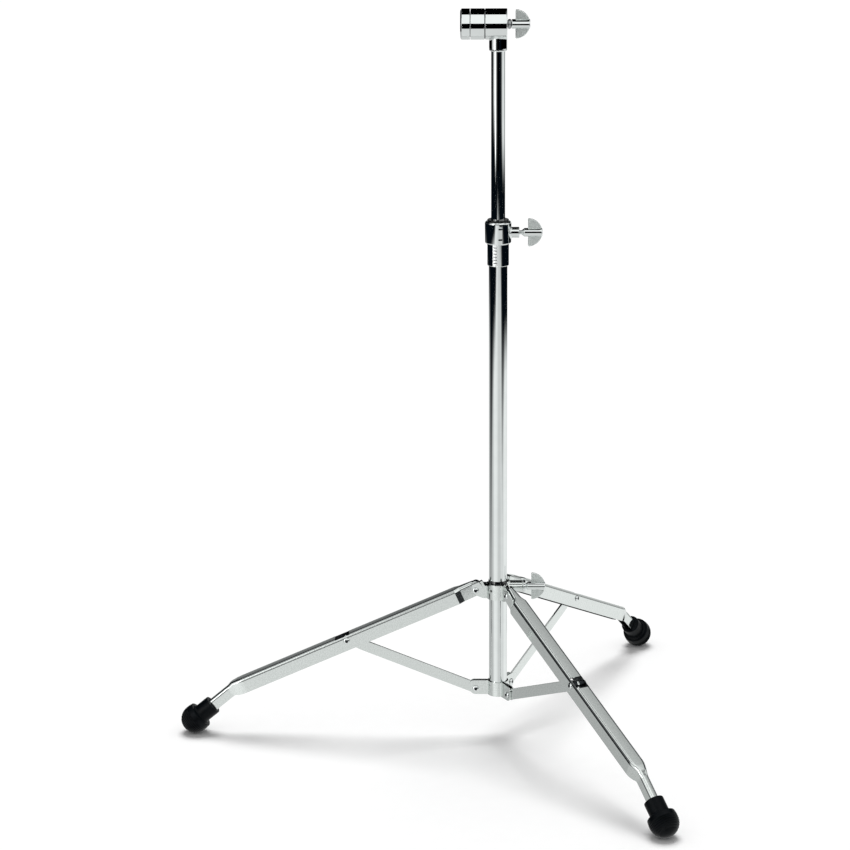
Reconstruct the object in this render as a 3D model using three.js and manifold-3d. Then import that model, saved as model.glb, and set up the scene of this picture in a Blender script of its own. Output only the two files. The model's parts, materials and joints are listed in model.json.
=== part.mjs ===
// A folding floor stand for a frame drum: a three-legged base, a telescopic mast and a clamping head.
// Millimetres, +Z up. The stand is modelled round its mast, with the floor at height zero, and the finished
// group is then moved along X so that its origin is the centre of its footprint on the floor.
import * as THREE from "three";
import { mergeVertices } from "three/addons/utils/BufferGeometryUtils.js";
import Module from "manifold-3d";

const wasm = await Module();
wasm.setup();

// Clearances and overruns
const FIT_GAP = 0.3; // between faces that touch on the real stand
const SLIDE_GAP = 0.25; // round a tube that slides
const OVERRUN = 2; // how far a cut runs past what it cuts
const SINK = 0.5; // how far joined solids reach into each other
const WELD = 0.0005; // vertices closer than this are one

// Faceting
const TUBE_SIDES = 24;
const HEAD_SIDES = 32;
const SMALL_SIDES = 12;
const SCREW_SIDES = 16;
const FOOT_SIDES = 16;
const ARC_STEPS = 6;

// Base tube and upper tube
const BASE_TUBE_OUTER = 25.4;
const BASE_TUBE_WALL = 1.5;
const BASE_TUBE_LENGTH = 650;
const BASE_TUBE_RECESS = 3; // from the lower collar's lower edge up to the tube's end
const UPPER_TUBE_OUTER = 19.05;
const UPPER_TUBE_WALL = 1.2;
const UPPER_TUBE_LENGTH = 520;
const UPPER_TUBE_SHOWN = 232; // from the clamp's top to the head's neck
const GUIDE_BUSH_LENGTH = 25;
const END_PLUG_LENGTH = 14;
const END_PLUG_FLANGE = 1.6;

// Fold: the leg and its strut are equally long between pivots, so the collar stays level as it slides
const PIVOT_REACH = 31.5; // from the mast's axis to both collars' pivots
const PIVOT_SPAN = 147; // from the lower collar's pivots up to the leg collar's
const STRUT_SPAN = 196.5; // from pivot to pivot
const LEG_COUNT = 3;
const LEG_NAMES = ["left", "front", "back"];
const FIRST_LEG_AZIMUTH = 180;

// Sheet metal collars
const COLLAR_WALL = 1.6;
const EAR_GAP = 3.8; // between the two plates of a pair
const LEG_COLLAR_HEIGHT = 27;
const LEG_COLLAR_BELOW_PIVOT = 11.9;
const LEG_EAR_RADIUS = 7.2;
const LEG_EAR_ROOT = 21; // from the mast's axis to where the ears start to narrow
const LEG_RING_STEP = 4.8; // from the ears' top edge down to the ring's
const HUB_COLLAR_HEIGHT = 21;
const HUB_EAR_RADIUS = 8.5;
const HUB_EAR_TOP_CORNER = 6;
const COLLAR_BUSH_WALL = 1.1;
const COLLAR_PEG_HOLE = 3.6;
const COLLAR_PEG_AZIMUTH = -127;

// Leg channel
const SHEET = 1.5;
const LEG_WIDTH = 22;
const LEG_DEPTH = 21.5;
const LEG_END_WIDTH = 12; // of the channel that goes into the rubber foot
const LEG_END_DEPTH = 16.5;
const LEG_CORNER = 4.5;
const LEG_PIVOT_DROP = 3; // from the leg's centre line down to its upper pivot
const STRUT_PIVOT_RISE = 3; // from the leg's centre line up to the strut's pivot
const UPPER_PINCH_START = 17;
const PINCH_LENGTH = 11.5;
const WEB_START = 0; // along the centre line, where the channel's back begins
const CREASE_AT = 375.5; // along the centre line from the upper pivot
const FOOT_BEND = 16.3; // degrees
const CREASE_TO_BULB = 72;
const CREASE_TO_END = 62;
const SLOT_WIDTH = 18.6;
const SLOT_ABOVE_PIVOT = 7; // from the strut's pivot towards the mast
const SLOT_BELOW_PIVOT = 15; // from the strut's pivot towards the foot

// Strut
const STRUT_THICKNESS = 3;
const STRUT_DEPTH = 15.5;
const STRUT_NOSE = 5.2; // end radius inside the leg
const STRUT_TAPER = 22;

// Rubber foot, turned about the leg's bent end
const BULB_RADIUS = 20.5;
const BULB_FLAT = 0.5; // depth of the worn flat it stands on
const BULB_SHOULDER = 10.5; // from the bulb's centre up to its flat shoulder
const BULB_RIM = 19.4;
const SLEEVE_RADIUS = 13.6;
const SLEEVE_MOUTH = 33.5; // from the bulb's centre
const SLEEVE_EDGE = 1.2;
const RIB_COUNT = 7;
const RIB_PITCH = 2.7;
const RIB_DEPTH = 0.7;
const RIB_START = -3; // along the axis from the bulb's centre

// Rivets and spacers
const RIVET_RADIUS = 2.7;
const RIVET_HOLE = 3;
const RIVET_HEAD_RADIUS = 4.75;
const RIVET_HEAD_HEIGHT = 2.2;
const SPACER_RADIUS = 5;

// Height clamp
const HOUSING_COLLAR_RADIUS = 18.1;
const HOUSING_COLLAR_HEIGHT = 30.5;
const HOUSING_SLEEVE_RADIUS = 14.7;
const HOUSING_SLEEVE_HEIGHT = 31;
const HOUSING_CHAMFER = 2;
const CLAMP_BUSH_RIM = 2;
const CLAMP_BOSS_RADIUS = 7.5;
const CLAMP_BOSS_END = 29; // from the mast's axis
const CLAMP_SCREW_HEIGHT = 14.5; // above the housing's step
const DIMPLE_RADIUS = 1.3;
const DIMPLE_DEPTH = 2;
const DIMPLE_HEIGHTS_SHARE = [0.24, 0.72]; // of the housing collar's height

// Leg collar boss
const COLLAR_BOSS_RADIUS = 8.2;
const COLLAR_BOSS_END = 34.9;
const COLLAR_SCREW_ABOVE_PIVOT = 5.5;
const COLLAR_FLANGE_RADIUS = 8.8; // of the collar screw, against the boss
const COLLAR_FLANGE_WIDTH = 3.5;

// Wing screws and the wing nut
const SCREW_RADIUS = 3;
const SCREW_HOLE = 3.3;
const BOSS_EDGE = 1.2;
const PAD_RADIUS = 2.8;
const PAD_THICKNESS = 2;
const WING_RADIUS = 19.6;
const WING_THICKNESS = 3.2;
const HUB_RADIUS = 6;
const HUB_LEAD = 4.8; // from the hub's start to the wings' flat edge
const HUB_CONE = 4;
const HUB_NOSE = 1.8;
const NECK_LENGTH = 7; // from the boss to the hub

// Head
const HEAD_RADIUS = 20.8;
const HEAD_EDGE = 1;
const HEAD_BODY_INWARD = 16.8; // from the mast's axis to the face towards the jaws
const HEAD_BODY_OUTWARD = 12.2; // from the mast's axis to the face under the wing nut
const NECK_RADIUS = 12.2;
const NECK_RIM = 1.2;
const NECK_DROP = 36; // from the head's axis down to the neck's lower edge
const SOCKET_DEPTH = 15;
const GROOVE_WASHER = 1.2;
const GROOVE_WASHER_RADIUS = 19.6;
const INNER_JAW_WIDTH = 18.1;
const OUTER_JAW_WIDTH = 12.6;
const JAW_GAP = 1.5;
const JAW_EDGE = 2.5;
const JAW_PAD_RADIUS = 17;
const JAW_PAD_HOLE = 5;
const JAW_PAD_THICKNESS = 3;
const BOLT_IN_JAW = 9.8; // how deep the draw bolt sits in the outer jaw
const NUT_WASHER_RADIUS = 6.7;
const NUT_WASHER_WIDTH = 5.4;
const NUT_WASHER_EDGE_SHARE = 0.25; // of its width, in each rounded corner
const NUT_HUB_RADIUS = 6.5;
const NUT_HUB_LEAD = 5;
const NUT_END_WALL = 3;

// Worked out from the sizes above
const RAD = Math.PI / 180;
const HALF = 0.5;
const baseRadius = BASE_TUBE_OUTER * HALF;
const baseBore = baseRadius - BASE_TUBE_WALL;
const upperRadius = UPPER_TUBE_OUTER * HALF;
const earInner = EAR_GAP * HALF;
const earOuter = earInner + COLLAR_WALL;
const legEndInner = earOuter + FIT_GAP;
const legEndOuter = legEndInner + SHEET;
const legFootOuter = LEG_END_WIDTH * HALF;
const legOuter = LEG_WIDTH * HALF;
const legInner = legOuter - SHEET;
const legTop = LEG_DEPTH * HALF;

const linkRise = PIVOT_SPAN * HALF;
const linkReach = Math.sqrt(STRUT_SPAN ** 2 - linkRise ** 2);
const linkSlope = Math.atan2(linkRise, linkReach);
const legSlope = linkSlope + Math.asin((LEG_PIVOT_DROP + STRUT_PIVOT_RISE) / STRUT_SPAN);
const footSlope = legSlope + FOOT_BEND * RAD;

// A direction that falls outwards at a slope, and the one square to it that points up, in the leg's plane
const fall = (slope) => new THREE.Vector2(Math.cos(slope), -Math.sin(slope));
const lift = (slope) => new THREE.Vector2(Math.sin(slope), Math.cos(slope));

// Places in the leg's plane, as reach from the mast's axis and height, counted from the leg collar's pivot
const creaseOffset = lift(legSlope)
  .multiplyScalar(LEG_PIVOT_DROP)
  .addScaledVector(fall(legSlope), CREASE_AT);
const bulbOffset = creaseOffset.clone().addScaledVector(fall(footSlope), CREASE_TO_BULB);
const bulbHeight = BULB_RADIUS - BULB_FLAT;
const collarPivot = new THREE.Vector2(PIVOT_REACH, bulbHeight - bulbOffset.y);
const hubPivot = new THREE.Vector2(PIVOT_REACH, collarPivot.y - PIVOT_SPAN);
const strutPivot = new THREE.Vector2(PIVOT_REACH + linkReach, collarPivot.y - linkRise);
const lineStart = collarPivot.clone().addScaledVector(lift(legSlope), LEG_PIVOT_DROP);
const crease = collarPivot.clone().add(creaseOffset);
const bulb = collarPivot.clone().add(bulbOffset);

const hubBottom = hubPivot.y - HUB_EAR_RADIUS;
const legCollarBottom = collarPivot.y - LEG_COLLAR_BELOW_PIVOT;
const baseBottom = hubBottom + BASE_TUBE_RECESS;
const baseTop = baseBottom + BASE_TUBE_LENGTH;
const housingStep = baseTop + FIT_GAP;
const housingTop = housingStep + HOUSING_COLLAR_HEIGHT;
const neckBottom = housingTop + UPPER_TUBE_SHOWN;
const headAxis = neckBottom + NECK_DROP;
const upperTop = neckBottom + SOCKET_DEPTH - FIT_GAP;
const upperBottom = upperTop - UPPER_TUBE_LENGTH;
const clampScrewHeight = housingStep + CLAMP_SCREW_HEIGHT;
const collarScrewHeight = collarPivot.y + COLLAR_SCREW_ABOVE_PIVOT;

const washerFace = -HEAD_BODY_INWARD - FIT_GAP;
const innerJawFace = washerFace - GROOVE_WASHER - FIT_GAP;
const innerJawEnd = innerJawFace - INNER_JAW_WIDTH;
const outerJawFace = innerJawEnd - JAW_GAP;
const outerJawEnd = outerJawFace - OUTER_JAW_WIDTH;
const innerPadEnd = innerJawEnd - (JAW_GAP - FIT_GAP) * HALF;
const outerPadFace = innerPadEnd - FIT_GAP;
const nutWasherFace = HEAD_BODY_OUTWARD + FIT_GAP;
const nutFace = nutWasherFace + NUT_WASHER_WIDTH + FIT_GAP;
const nutWingEdge = nutFace + NUT_HUB_LEAD;
const nutEnd = nutWingEdge + WING_RADIUS;

const chrome = new THREE.MeshStandardMaterial({ color: 0xd4d8d7, roughness: 0.12, metalness: 1 });
const rubber = new THREE.MeshStandardMaterial({ color: 0x10161a, roughness: 0.6, metalness: 0 });
const nylon = new THREE.MeshStandardMaterial({ color: 0x15171a, roughness: 0.45, metalness: 0 });
const zinc = new THREE.MeshStandardMaterial({ color: 0xb9bcbc, roughness: 0.35, metalness: 1 });

// A closed geometry as a solid that can be joined and cut
function solid(geometry) {
  const bare = new THREE.BufferGeometry();
  bare.setAttribute("position", geometry.getAttribute("position").clone());
  if (geometry.index) bare.setIndex(geometry.index.clone());
  const merged = mergeVertices(bare, WELD);
  const corners = merged.index.array;
  const kept = [];
  for (let i = 0; i < corners.length; i += 3) {
    const [a, b, c] = corners.slice(i, i + 3);
    if (a !== b && b !== c && c !== a) kept.push(a, b, c);
  }
  return new wasm.Manifold(
    new wasm.Mesh({
      numProp: 3,
      vertProperties: merged.attributes.position.array,
      triVerts: new Uint32Array(kept),
    }),
  );
}

const join = (parts) => parts.reduce((sum, part) => sum.add(part));
const cut = (body, tools) => tools.reduce((rest, tool) => rest.subtract(tool), body);

function mesh(name, body, material) {
  const data = body.getMesh();
  const geometry = new THREE.BufferGeometry();
  geometry.setAttribute("position", new THREE.BufferAttribute(new Float32Array(data.vertProperties), 3));
  geometry.setIndex(new THREE.BufferAttribute(new Uint32Array(data.triVerts), 1));
  geometry.computeVertexNormals();
  const made = new THREE.Mesh(geometry, material);
  made.name = name;
  return made;
}

// A turned piece about +Z from a profile of [radius, height] points
function turnedGeometry(profile, sides) {
  const points = profile.map(([radius, height]) => new THREE.Vector2(radius, height));
  if (points[0].x > 0) points.push(points[0].clone());
  if (THREE.ShapeUtils.area(points) < 0) points.reverse();
  return new THREE.LatheGeometry(points, sides).rotateX(90 * RAD);
}
const turned = (profile, sides) => solid(turnedGeometry(profile, sides));

const ringProfile = (inner, outer, low, high) => [
  [inner, low],
  [outer, low],
  [outer, high],
  [inner, high],
];
const rodProfile = (radius, low, high) => [
  [0, low],
  [radius, low],
  [radius, high],
  [0, high],
];

// A rod along +X from one x to another, at a height
const rodX = (radius, from, to, height, sides) =>
  solid(turnedGeometry(rodProfile(radius, from, to), sides).rotateY(90 * RAD).translate(0, 0, height));
const turnedX = (profile, height, sides) =>
  solid(turnedGeometry(profile, sides).rotateY(90 * RAD).translate(0, 0, height));

function box(from, to) {
  const size = to.clone().sub(from);
  const middle = to.clone().add(from).multiplyScalar(HALF);
  return new THREE.BoxGeometry(size.x, size.y, size.z).translate(middle.x, middle.y, middle.z);
}

// A plate drawn in the leg's plane, reach along X and height along Z, between two distances to its side
function sidePlate(shape, nearSide, farSide) {
  const settings = { depth: farSide - nearSide, bevelEnabled: false, curveSegments: ARC_STEPS };
  return new THREE.ExtrudeGeometry(shape, settings).rotateX(90 * RAD).translate(0, farSide, 0);
}

// A rod across the leg's plane at a pivot
const crossRod = (radius, pivot, halfLength) =>
  turnedGeometry(rodProfile(radius, -halfLength, halfLength), SMALL_SIDES)
    .rotateX(90 * RAD)
    .translate(pivot.x, 0, pivot.y);

const legAzimuths = LEG_NAMES.map((_, i) => (FIRST_LEG_AZIMUTH * RAD + (i * 2 * Math.PI) / LEG_COUNT));
const roundTheMast = (geometry) => legAzimuths.map((azimuth) => solid(geometry.clone().rotateZ(azimuth)));

// Outline of a lower collar's ear plate: a tab as high as the collar, its two outer corners rounded
function tabOutline(ringReach, low, high, tip, lowCorner, topCorner) {
  const shape = new THREE.Shape();
  shape.moveTo(ringReach, low);
  shape.lineTo(tip - lowCorner, low);
  shape.absarc(tip - lowCorner, low + lowCorner, lowCorner, -90 * RAD, 0, false);
  shape.absarc(tip - topCorner, high - topCorner, topCorner, 0, 90 * RAD, false);
  shape.lineTo(ringReach, high);
  shape.closePath();
  return shape;
}

// Outline of a leg collar's ear plate: narrowing from its root to a round end about the pivot
function narrowingOutline(ringReach, low, high, root, pivot, radius) {
  const tangentTo = (corner, sign) => {
    const away = new THREE.Vector2(pivot.x - corner.x, pivot.y - corner.y);
    return away.angle() + sign * (180 * RAD - Math.asin(radius / away.length()));
  };
  const lowAngle = tangentTo(new THREE.Vector2(root, low), 1);
  const highAngle = tangentTo(new THREE.Vector2(root, high), -1);
  const at = (angle) => [pivot.x + radius * Math.cos(angle), pivot.y + radius * Math.sin(angle)];
  const shape = new THREE.Shape();
  shape.moveTo(ringReach, low);
  shape.lineTo(root, low);
  shape.lineTo(...at(lowAngle));
  shape.absarc(pivot.x, pivot.y, radius, lowAngle, highAngle, false);
  shape.lineTo(root, high);
  shape.lineTo(ringReach, high);
  shape.closePath();
  return shape;
}

// A sheet metal collar: a ring with a pair of ear plates for each leg
function earCollar(innerRadius, low, ringHigh, pivot, outline) {
  const ears = [-1, 1].flatMap((side) => {
    const [near, far] = [side * earInner, side * earOuter].sort((a, b) => a - b);
    return roundTheMast(sidePlate(outline, near, far));
  });
  const ring = turned(ringProfile(innerRadius, innerRadius + COLLAR_WALL, low, ringHigh), TUBE_SIDES);
  const earsTop = low + Math.max(LEG_COLLAR_HEIGHT, HUB_COLLAR_HEIGHT);
  const bore = turned(rodProfile(innerRadius, low - OVERRUN, earsTop + OVERRUN), TUBE_SIDES);
  const holes = roundTheMast(crossRod(RIVET_HOLE, pivot, earOuter + OVERRUN));
  return cut(join([ring, ...ears]), [bore, ...holes]);
}

// A rivet across the leg's plane with a domed head on each side
function rivet(name, pivot, halfGrip) {
  const shoulder = halfGrip + FIT_GAP;
  const domeStepsShare = [0, 0.5, 0.85, 1];
  const side = domeStepsShare.map((share) => [
    RIVET_HEAD_RADIUS * Math.sqrt(1 - share ** 2),
    shoulder + RIVET_HEAD_HEIGHT * share,
  ]);
  const profile = [
    ...side.map(([radius, height]) => [radius, -height]).reverse(),
    [RIVET_RADIUS, -shoulder],
    [RIVET_RADIUS, shoulder],
    ...side,
  ];
  const body = turnedGeometry(profile, SMALL_SIDES).rotateX(90 * RAD).translate(pivot.x, 0, pivot.y);
  return mesh(name, solid(body), chrome);
}

function spacer(name, pivot, from, to) {
  const body = turnedGeometry(ringProfile(RIVET_HOLE, SPACER_RADIUS, from, to), SMALL_SIDES)
    .rotateX(-90 * RAD)
    .translate(pivot.x, 0, pivot.y);
  return mesh(name, solid(body), zinc);
}

// Mast tubes and what closes or guides them
function baseTube() {
  return mesh("base_tube", turned(ringProfile(baseBore, baseRadius, baseBottom, baseTop), TUBE_SIDES), chrome);
}

function tubeEndPlug() {
  const flangeTop = baseBottom - FIT_GAP;
  const profile = [
    [0, flangeTop - END_PLUG_FLANGE],
    [baseRadius, flangeTop - END_PLUG_FLANGE],
    [baseRadius, flangeTop],
    [baseBore - FIT_GAP, flangeTop],
    [baseBore - FIT_GAP, flangeTop + END_PLUG_LENGTH],
    [0, flangeTop + END_PLUG_LENGTH],
  ];
  return mesh("tube_end_plug", turned(profile, TUBE_SIDES), nylon);
}

function upperTube() {
  const profile = ringProfile(upperRadius - UPPER_TUBE_WALL, upperRadius, upperBottom, upperTop);
  return mesh("upper_tube", turned(profile, TUBE_SIDES), chrome);
}

function tubeGuideBush() {
  const low = upperBottom + FIT_GAP;
  const profile = ringProfile(upperRadius + SLIDE_GAP, baseBore - SLIDE_GAP, low, low + GUIDE_BUSH_LENGTH);
  return mesh("tube_guide_bush", turned(profile, TUBE_SIDES), nylon);
}

// A boss along +X round a screw, from inside a ring's wall to its rounded end
function boss(radius, from, to, height) {
  const profile = [
    [0, from],
    [radius, from],
    [radius, to - BOSS_EDGE],
    [radius - BOSS_EDGE, to],
    [0, to],
  ];
  return turnedX(profile, height, SCREW_SIDES);
}

function clampHousing() {
  const bore = baseRadius + FIT_GAP;
  const low = housingStep - HOUSING_SLEEVE_HEIGHT;
  const profile = [
    [bore, low],
    [HOUSING_SLEEVE_RADIUS, low],
    [HOUSING_SLEEVE_RADIUS, housingStep],
    [HOUSING_COLLAR_RADIUS, housingStep],
    [HOUSING_COLLAR_RADIUS, housingTop - HOUSING_CHAMFER],
    [HOUSING_COLLAR_RADIUS - HOUSING_CHAMFER, housingTop],
    [bore, housingTop],
  ];
  const shell = turned(profile, TUBE_SIDES);
  const block = boss(CLAMP_BOSS_RADIUS, bore + SINK, CLAMP_BOSS_END, clampScrewHeight);
  const tubeHole = turned(rodProfile(bore, low - OVERRUN, housingTop + OVERRUN), TUBE_SIDES);
  const screwHole = rodX(SCREW_HOLE, 0, CLAMP_BOSS_END + OVERRUN, clampScrewHeight, SCREW_SIDES);
  const dimples = DIMPLE_HEIGHTS_SHARE.map((share) =>
    solid(
      turnedGeometry(rodProfile(DIMPLE_RADIUS, 0, DIMPLE_DEPTH + OVERRUN), SMALL_SIDES)
        .rotateX(90 * RAD)
        .translate(0, DIMPLE_DEPTH - HOUSING_COLLAR_RADIUS, housingStep + HOUSING_COLLAR_HEIGHT * share),
    ),
  );
  return mesh("clamp_housing", cut(shell.add(block), [tubeHole, screwHole, ...dimples]), chrome);
}

function clampBush() {
  const inner = upperRadius + SLIDE_GAP;
  const low = baseTop + FIT_GAP;
  const rimLow = housingTop + FIT_GAP;
  const profile = [
    [inner, low],
    [baseRadius, low],
    [baseRadius, rimLow],
    [HOUSING_SLEEVE_RADIUS, rimLow],
    [HOUSING_SLEEVE_RADIUS, rimLow + CLAMP_BUSH_RIM],
    [inner, rimLow + CLAMP_BUSH_RIM],
  ];
  const hole = rodX(SCREW_HOLE, 0, baseRadius + OVERRUN, clampScrewHeight, SCREW_SIDES);
  return mesh("clamp_bush", cut(turned(profile, TUBE_SIDES), [hole]), nylon);
}

// Half-round wings with their flat edge towards the stand, and a turned hub through them
function wings(hubProfile, flatEdge, height) {
  const outline = new THREE.Shape();
  outline.moveTo(flatEdge, height - WING_RADIUS);
  outline.absarc(flatEdge, height, WING_RADIUS, -90 * RAD, 90 * RAD, false);
  outline.closePath();
  const blade = solid(sidePlate(outline, -WING_THICKNESS * HALF, WING_THICKNESS * HALF));
  return blade.add(turnedX(hubProfile, height, SCREW_SIDES));
}

function wingScrew(name, tip, bossEnd, height, flangeRadius = 0) {
  const hubStart = bossEnd + NECK_LENGTH;
  const flatEdge = hubStart + HUB_LEAD;
  const hubEnd = flatEdge + WING_RADIUS;
  const flangeFace = bossEnd + FIT_GAP;
  const flangeBack = flangeFace + COLLAR_FLANGE_WIDTH;
  const plainNeck = [[SCREW_RADIUS, hubStart - HUB_CONE]];
  const flangedNeck = [
    [SCREW_RADIUS, flangeFace],
    [flangeRadius, flangeFace],
    [flangeRadius, flangeBack],
    [SCREW_RADIUS, flangeBack],
  ];
  const profile = [
    [0, tip],
    [SCREW_RADIUS, tip],
    ...(flangeRadius ? flangedNeck : plainNeck),
    [HUB_RADIUS, hubStart],
    [HUB_RADIUS, hubEnd - HUB_NOSE],
    [HUB_RADIUS - HUB_NOSE, hubEnd],
    [0, hubEnd],
  ];
  return mesh(name, wings(profile, flatEdge, height), chrome);
}

// A pressure pad between a tube's wall and a screw's tip
function screwPad(name, tubeRadius, height) {
  const from = tubeRadius + FIT_GAP;
  return mesh(name, rodX(PAD_RADIUS, from, from + PAD_THICKNESS, height, SMALL_SIDES), zinc);
}
const screwTip = (tubeRadius) => tubeRadius + FIT_GAP + PAD_THICKNESS + FIT_GAP;

// Head: body, washer, two jaws with pads, bolt and nut, all along X at the head's axis
function headBody() {
  const barrelProfile = [
    [0, -HEAD_BODY_INWARD],
    [HEAD_RADIUS, -HEAD_BODY_INWARD],
    [HEAD_RADIUS, HEAD_BODY_OUTWARD - HEAD_EDGE],
    [HEAD_RADIUS - HEAD_EDGE, HEAD_BODY_OUTWARD],
    [0, HEAD_BODY_OUTWARD],
  ];
  const barrel = turnedX(barrelProfile, headAxis, HEAD_SIDES);
  const neckProfile = [
    [0, neckBottom],
    [NECK_RADIUS - NECK_RIM, neckBottom],
    [NECK_RADIUS, neckBottom + NECK_RIM],
    [NECK_RADIUS, headAxis],
    [0, headAxis],
  ];
  // The neck is wider than the body's outward end, so what would stand past that face comes off
  const trim = solid(
    box(
      new THREE.Vector3(HEAD_BODY_OUTWARD, -HEAD_RADIUS, headAxis - HEAD_RADIUS),
      new THREE.Vector3(HEAD_BODY_OUTWARD + HEAD_RADIUS, HEAD_RADIUS, headAxis + HEAD_RADIUS),
    ),
  );
  const neck = cut(turned(neckProfile, TUBE_SIDES), [trim]);
  const socketRadius = upperRadius + FIT_GAP;
  const socketProfile = rodProfile(socketRadius, neckBottom - OVERRUN, neckBottom + SOCKET_DEPTH);
  const socket = turned(socketProfile, TUBE_SIDES);
  const boltHole = rodX(
    SCREW_HOLE,
    -HEAD_BODY_INWARD - OVERRUN,
    HEAD_BODY_OUTWARD + OVERRUN,
    headAxis,
    SCREW_SIDES,
  );
  return mesh("head_body", cut(barrel.add(neck), [socket, boltHole]), chrome);
}

function frictionWasher() {
  const profile = ringProfile(SCREW_HOLE, GROOVE_WASHER_RADIUS, washerFace - GROOVE_WASHER, washerFace);
  return mesh("friction_washer", turnedX(profile, headAxis, HEAD_SIDES), nylon);
}

function innerJaw() {
  const recess = innerPadEnd + JAW_PAD_THICKNESS + FIT_GAP;
  const profile = [
    [SCREW_HOLE, recess],
    [JAW_PAD_RADIUS + FIT_GAP, recess],
    [JAW_PAD_RADIUS + FIT_GAP, innerJawEnd],
    [HEAD_RADIUS, innerJawEnd],
    [HEAD_RADIUS, innerJawFace],
    [SCREW_HOLE, innerJawFace],
  ];
  return mesh("inner_jaw", turnedX(profile, headAxis, HEAD_SIDES), chrome);
}

function outerJaw() {
  const recess = outerPadFace - JAW_PAD_THICKNESS - FIT_GAP;
  const boltEnd = outerJawFace - BOLT_IN_JAW - FIT_GAP;
  const edgeSteps = 3;
  const roundEdge = [];
  for (let i = 0; i <= edgeSteps; i += 1) {
    const turn = ((90 * i) / edgeSteps) * RAD;
    roundEdge.push([
      HEAD_RADIUS - JAW_EDGE * (1 - Math.sin(turn)),
      outerJawEnd + JAW_EDGE * (1 - Math.cos(turn)),
    ]);
  }
  const profile = [
    [0, outerJawEnd],
    ...roundEdge,
    [HEAD_RADIUS, outerJawFace],
    [JAW_PAD_RADIUS + FIT_GAP, outerJawFace],
    [JAW_PAD_RADIUS + FIT_GAP, recess],
    [SCREW_HOLE, recess],
    [SCREW_HOLE, boltEnd],
    [0, boltEnd],
  ];
  return mesh("outer_jaw", turnedX(profile, headAxis, HEAD_SIDES), chrome);
}

function jawPad(name, face) {
  const profile = ringProfile(JAW_PAD_HOLE, JAW_PAD_RADIUS, face, face + JAW_PAD_THICKNESS);
  return mesh(name, turnedX(profile, headAxis, TUBE_SIDES), rubber);
}

function drawBolt() {
  const from = outerJawFace - BOLT_IN_JAW;
  const to = nutEnd - NUT_END_WALL - FIT_GAP;
  return mesh("draw_bolt", rodX(SCREW_RADIUS, from, to, headAxis, SMALL_SIDES), zinc);
}

function headNutWasher() {
  const end = nutWasherFace + NUT_WASHER_WIDTH;
  const crown = NUT_WASHER_WIDTH * HALF;
  const edge = NUT_WASHER_WIDTH * NUT_WASHER_EDGE_SHARE;
  const profile = [
    [SCREW_HOLE, nutWasherFace],
    [NUT_WASHER_RADIUS - edge, nutWasherFace],
    [NUT_WASHER_RADIUS, nutWasherFace + crown],
    [NUT_WASHER_RADIUS - edge, end],
    [SCREW_HOLE, end],
  ];
  return mesh("head_nut_washer", turnedX(profile, headAxis, SCREW_SIDES), chrome);
}

function headWingNut() {
  const profile = [
    [0, nutFace],
    [NUT_HUB_RADIUS, nutFace],
    [NUT_HUB_RADIUS, nutEnd - HUB_NOSE],
    [NUT_HUB_RADIUS - HUB_NOSE, nutEnd],
    [0, nutEnd],
  ];
  const thread = rodX(SCREW_HOLE, nutFace - OVERRUN, nutEnd - NUT_END_WALL, headAxis, SCREW_SIDES);
  return mesh("head_wing_nut", cut(wings(profile, nutWingEdge, headAxis), [thread]), chrome);
}

// Collars
function legCollar() {
  const inner = baseRadius + SLIDE_GAP + COLLAR_BUSH_WALL + SLIDE_GAP;
  const high = legCollarBottom + LEG_COLLAR_HEIGHT;
  const wallMiddle = inner + COLLAR_WALL * HALF;
  const ear = narrowingOutline(
    wallMiddle,
    legCollarBottom,
    high,
    LEG_EAR_ROOT,
    collarPivot,
    LEG_EAR_RADIUS,
  );
  const plain = earCollar(inner, legCollarBottom, high - LEG_RING_STEP, collarPivot, ear);
  const block = boss(COLLAR_BOSS_RADIUS, inner + SINK, COLLAR_BOSS_END, collarScrewHeight);
  const bore = turned(rodProfile(inner, legCollarBottom - OVERRUN, high + OVERRUN), TUBE_SIDES);
  const screwHole = rodX(SCREW_HOLE, 0, COLLAR_BOSS_END + OVERRUN, collarScrewHeight, SCREW_SIDES);
  const pegHole = solid(
    turnedGeometry(rodProfile(COLLAR_PEG_HOLE * HALF, 0, inner + COLLAR_WALL + OVERRUN), SMALL_SIDES)
      .rotateY(90 * RAD)
      .rotateZ(COLLAR_PEG_AZIMUTH * RAD)
      .translate(0, 0, legCollarBottom + LEG_COLLAR_HEIGHT * HALF),
  );
  return mesh("leg_collar", cut(plain.add(block), [bore, screwHole, pegHole]), chrome);
}

function collarBush() {
  const inner = baseRadius + SLIDE_GAP;
  const outer = inner + COLLAR_BUSH_WALL;
  const profile = ringProfile(inner, outer, legCollarBottom, legCollarBottom + LEG_COLLAR_HEIGHT);
  const hole = rodX(SCREW_HOLE, 0, outer + OVERRUN, collarScrewHeight, SCREW_SIDES);
  return mesh("collar_bush", cut(turned(profile, TUBE_SIDES), [hole]), nylon);
}

function lowerCollar() {
  const inner = baseRadius + FIT_GAP;
  const high = hubBottom + HUB_COLLAR_HEIGHT;
  const wallMiddle = inner + COLLAR_WALL * HALF;
  const tip = hubPivot.x + HUB_EAR_RADIUS;
  const ear = tabOutline(wallMiddle, hubBottom, high, tip, HUB_EAR_RADIUS, HUB_EAR_TOP_CORNER);
  return mesh("lower_collar", earCollar(inner, hubBottom, high, hubPivot, ear), chrome);
}

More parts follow.
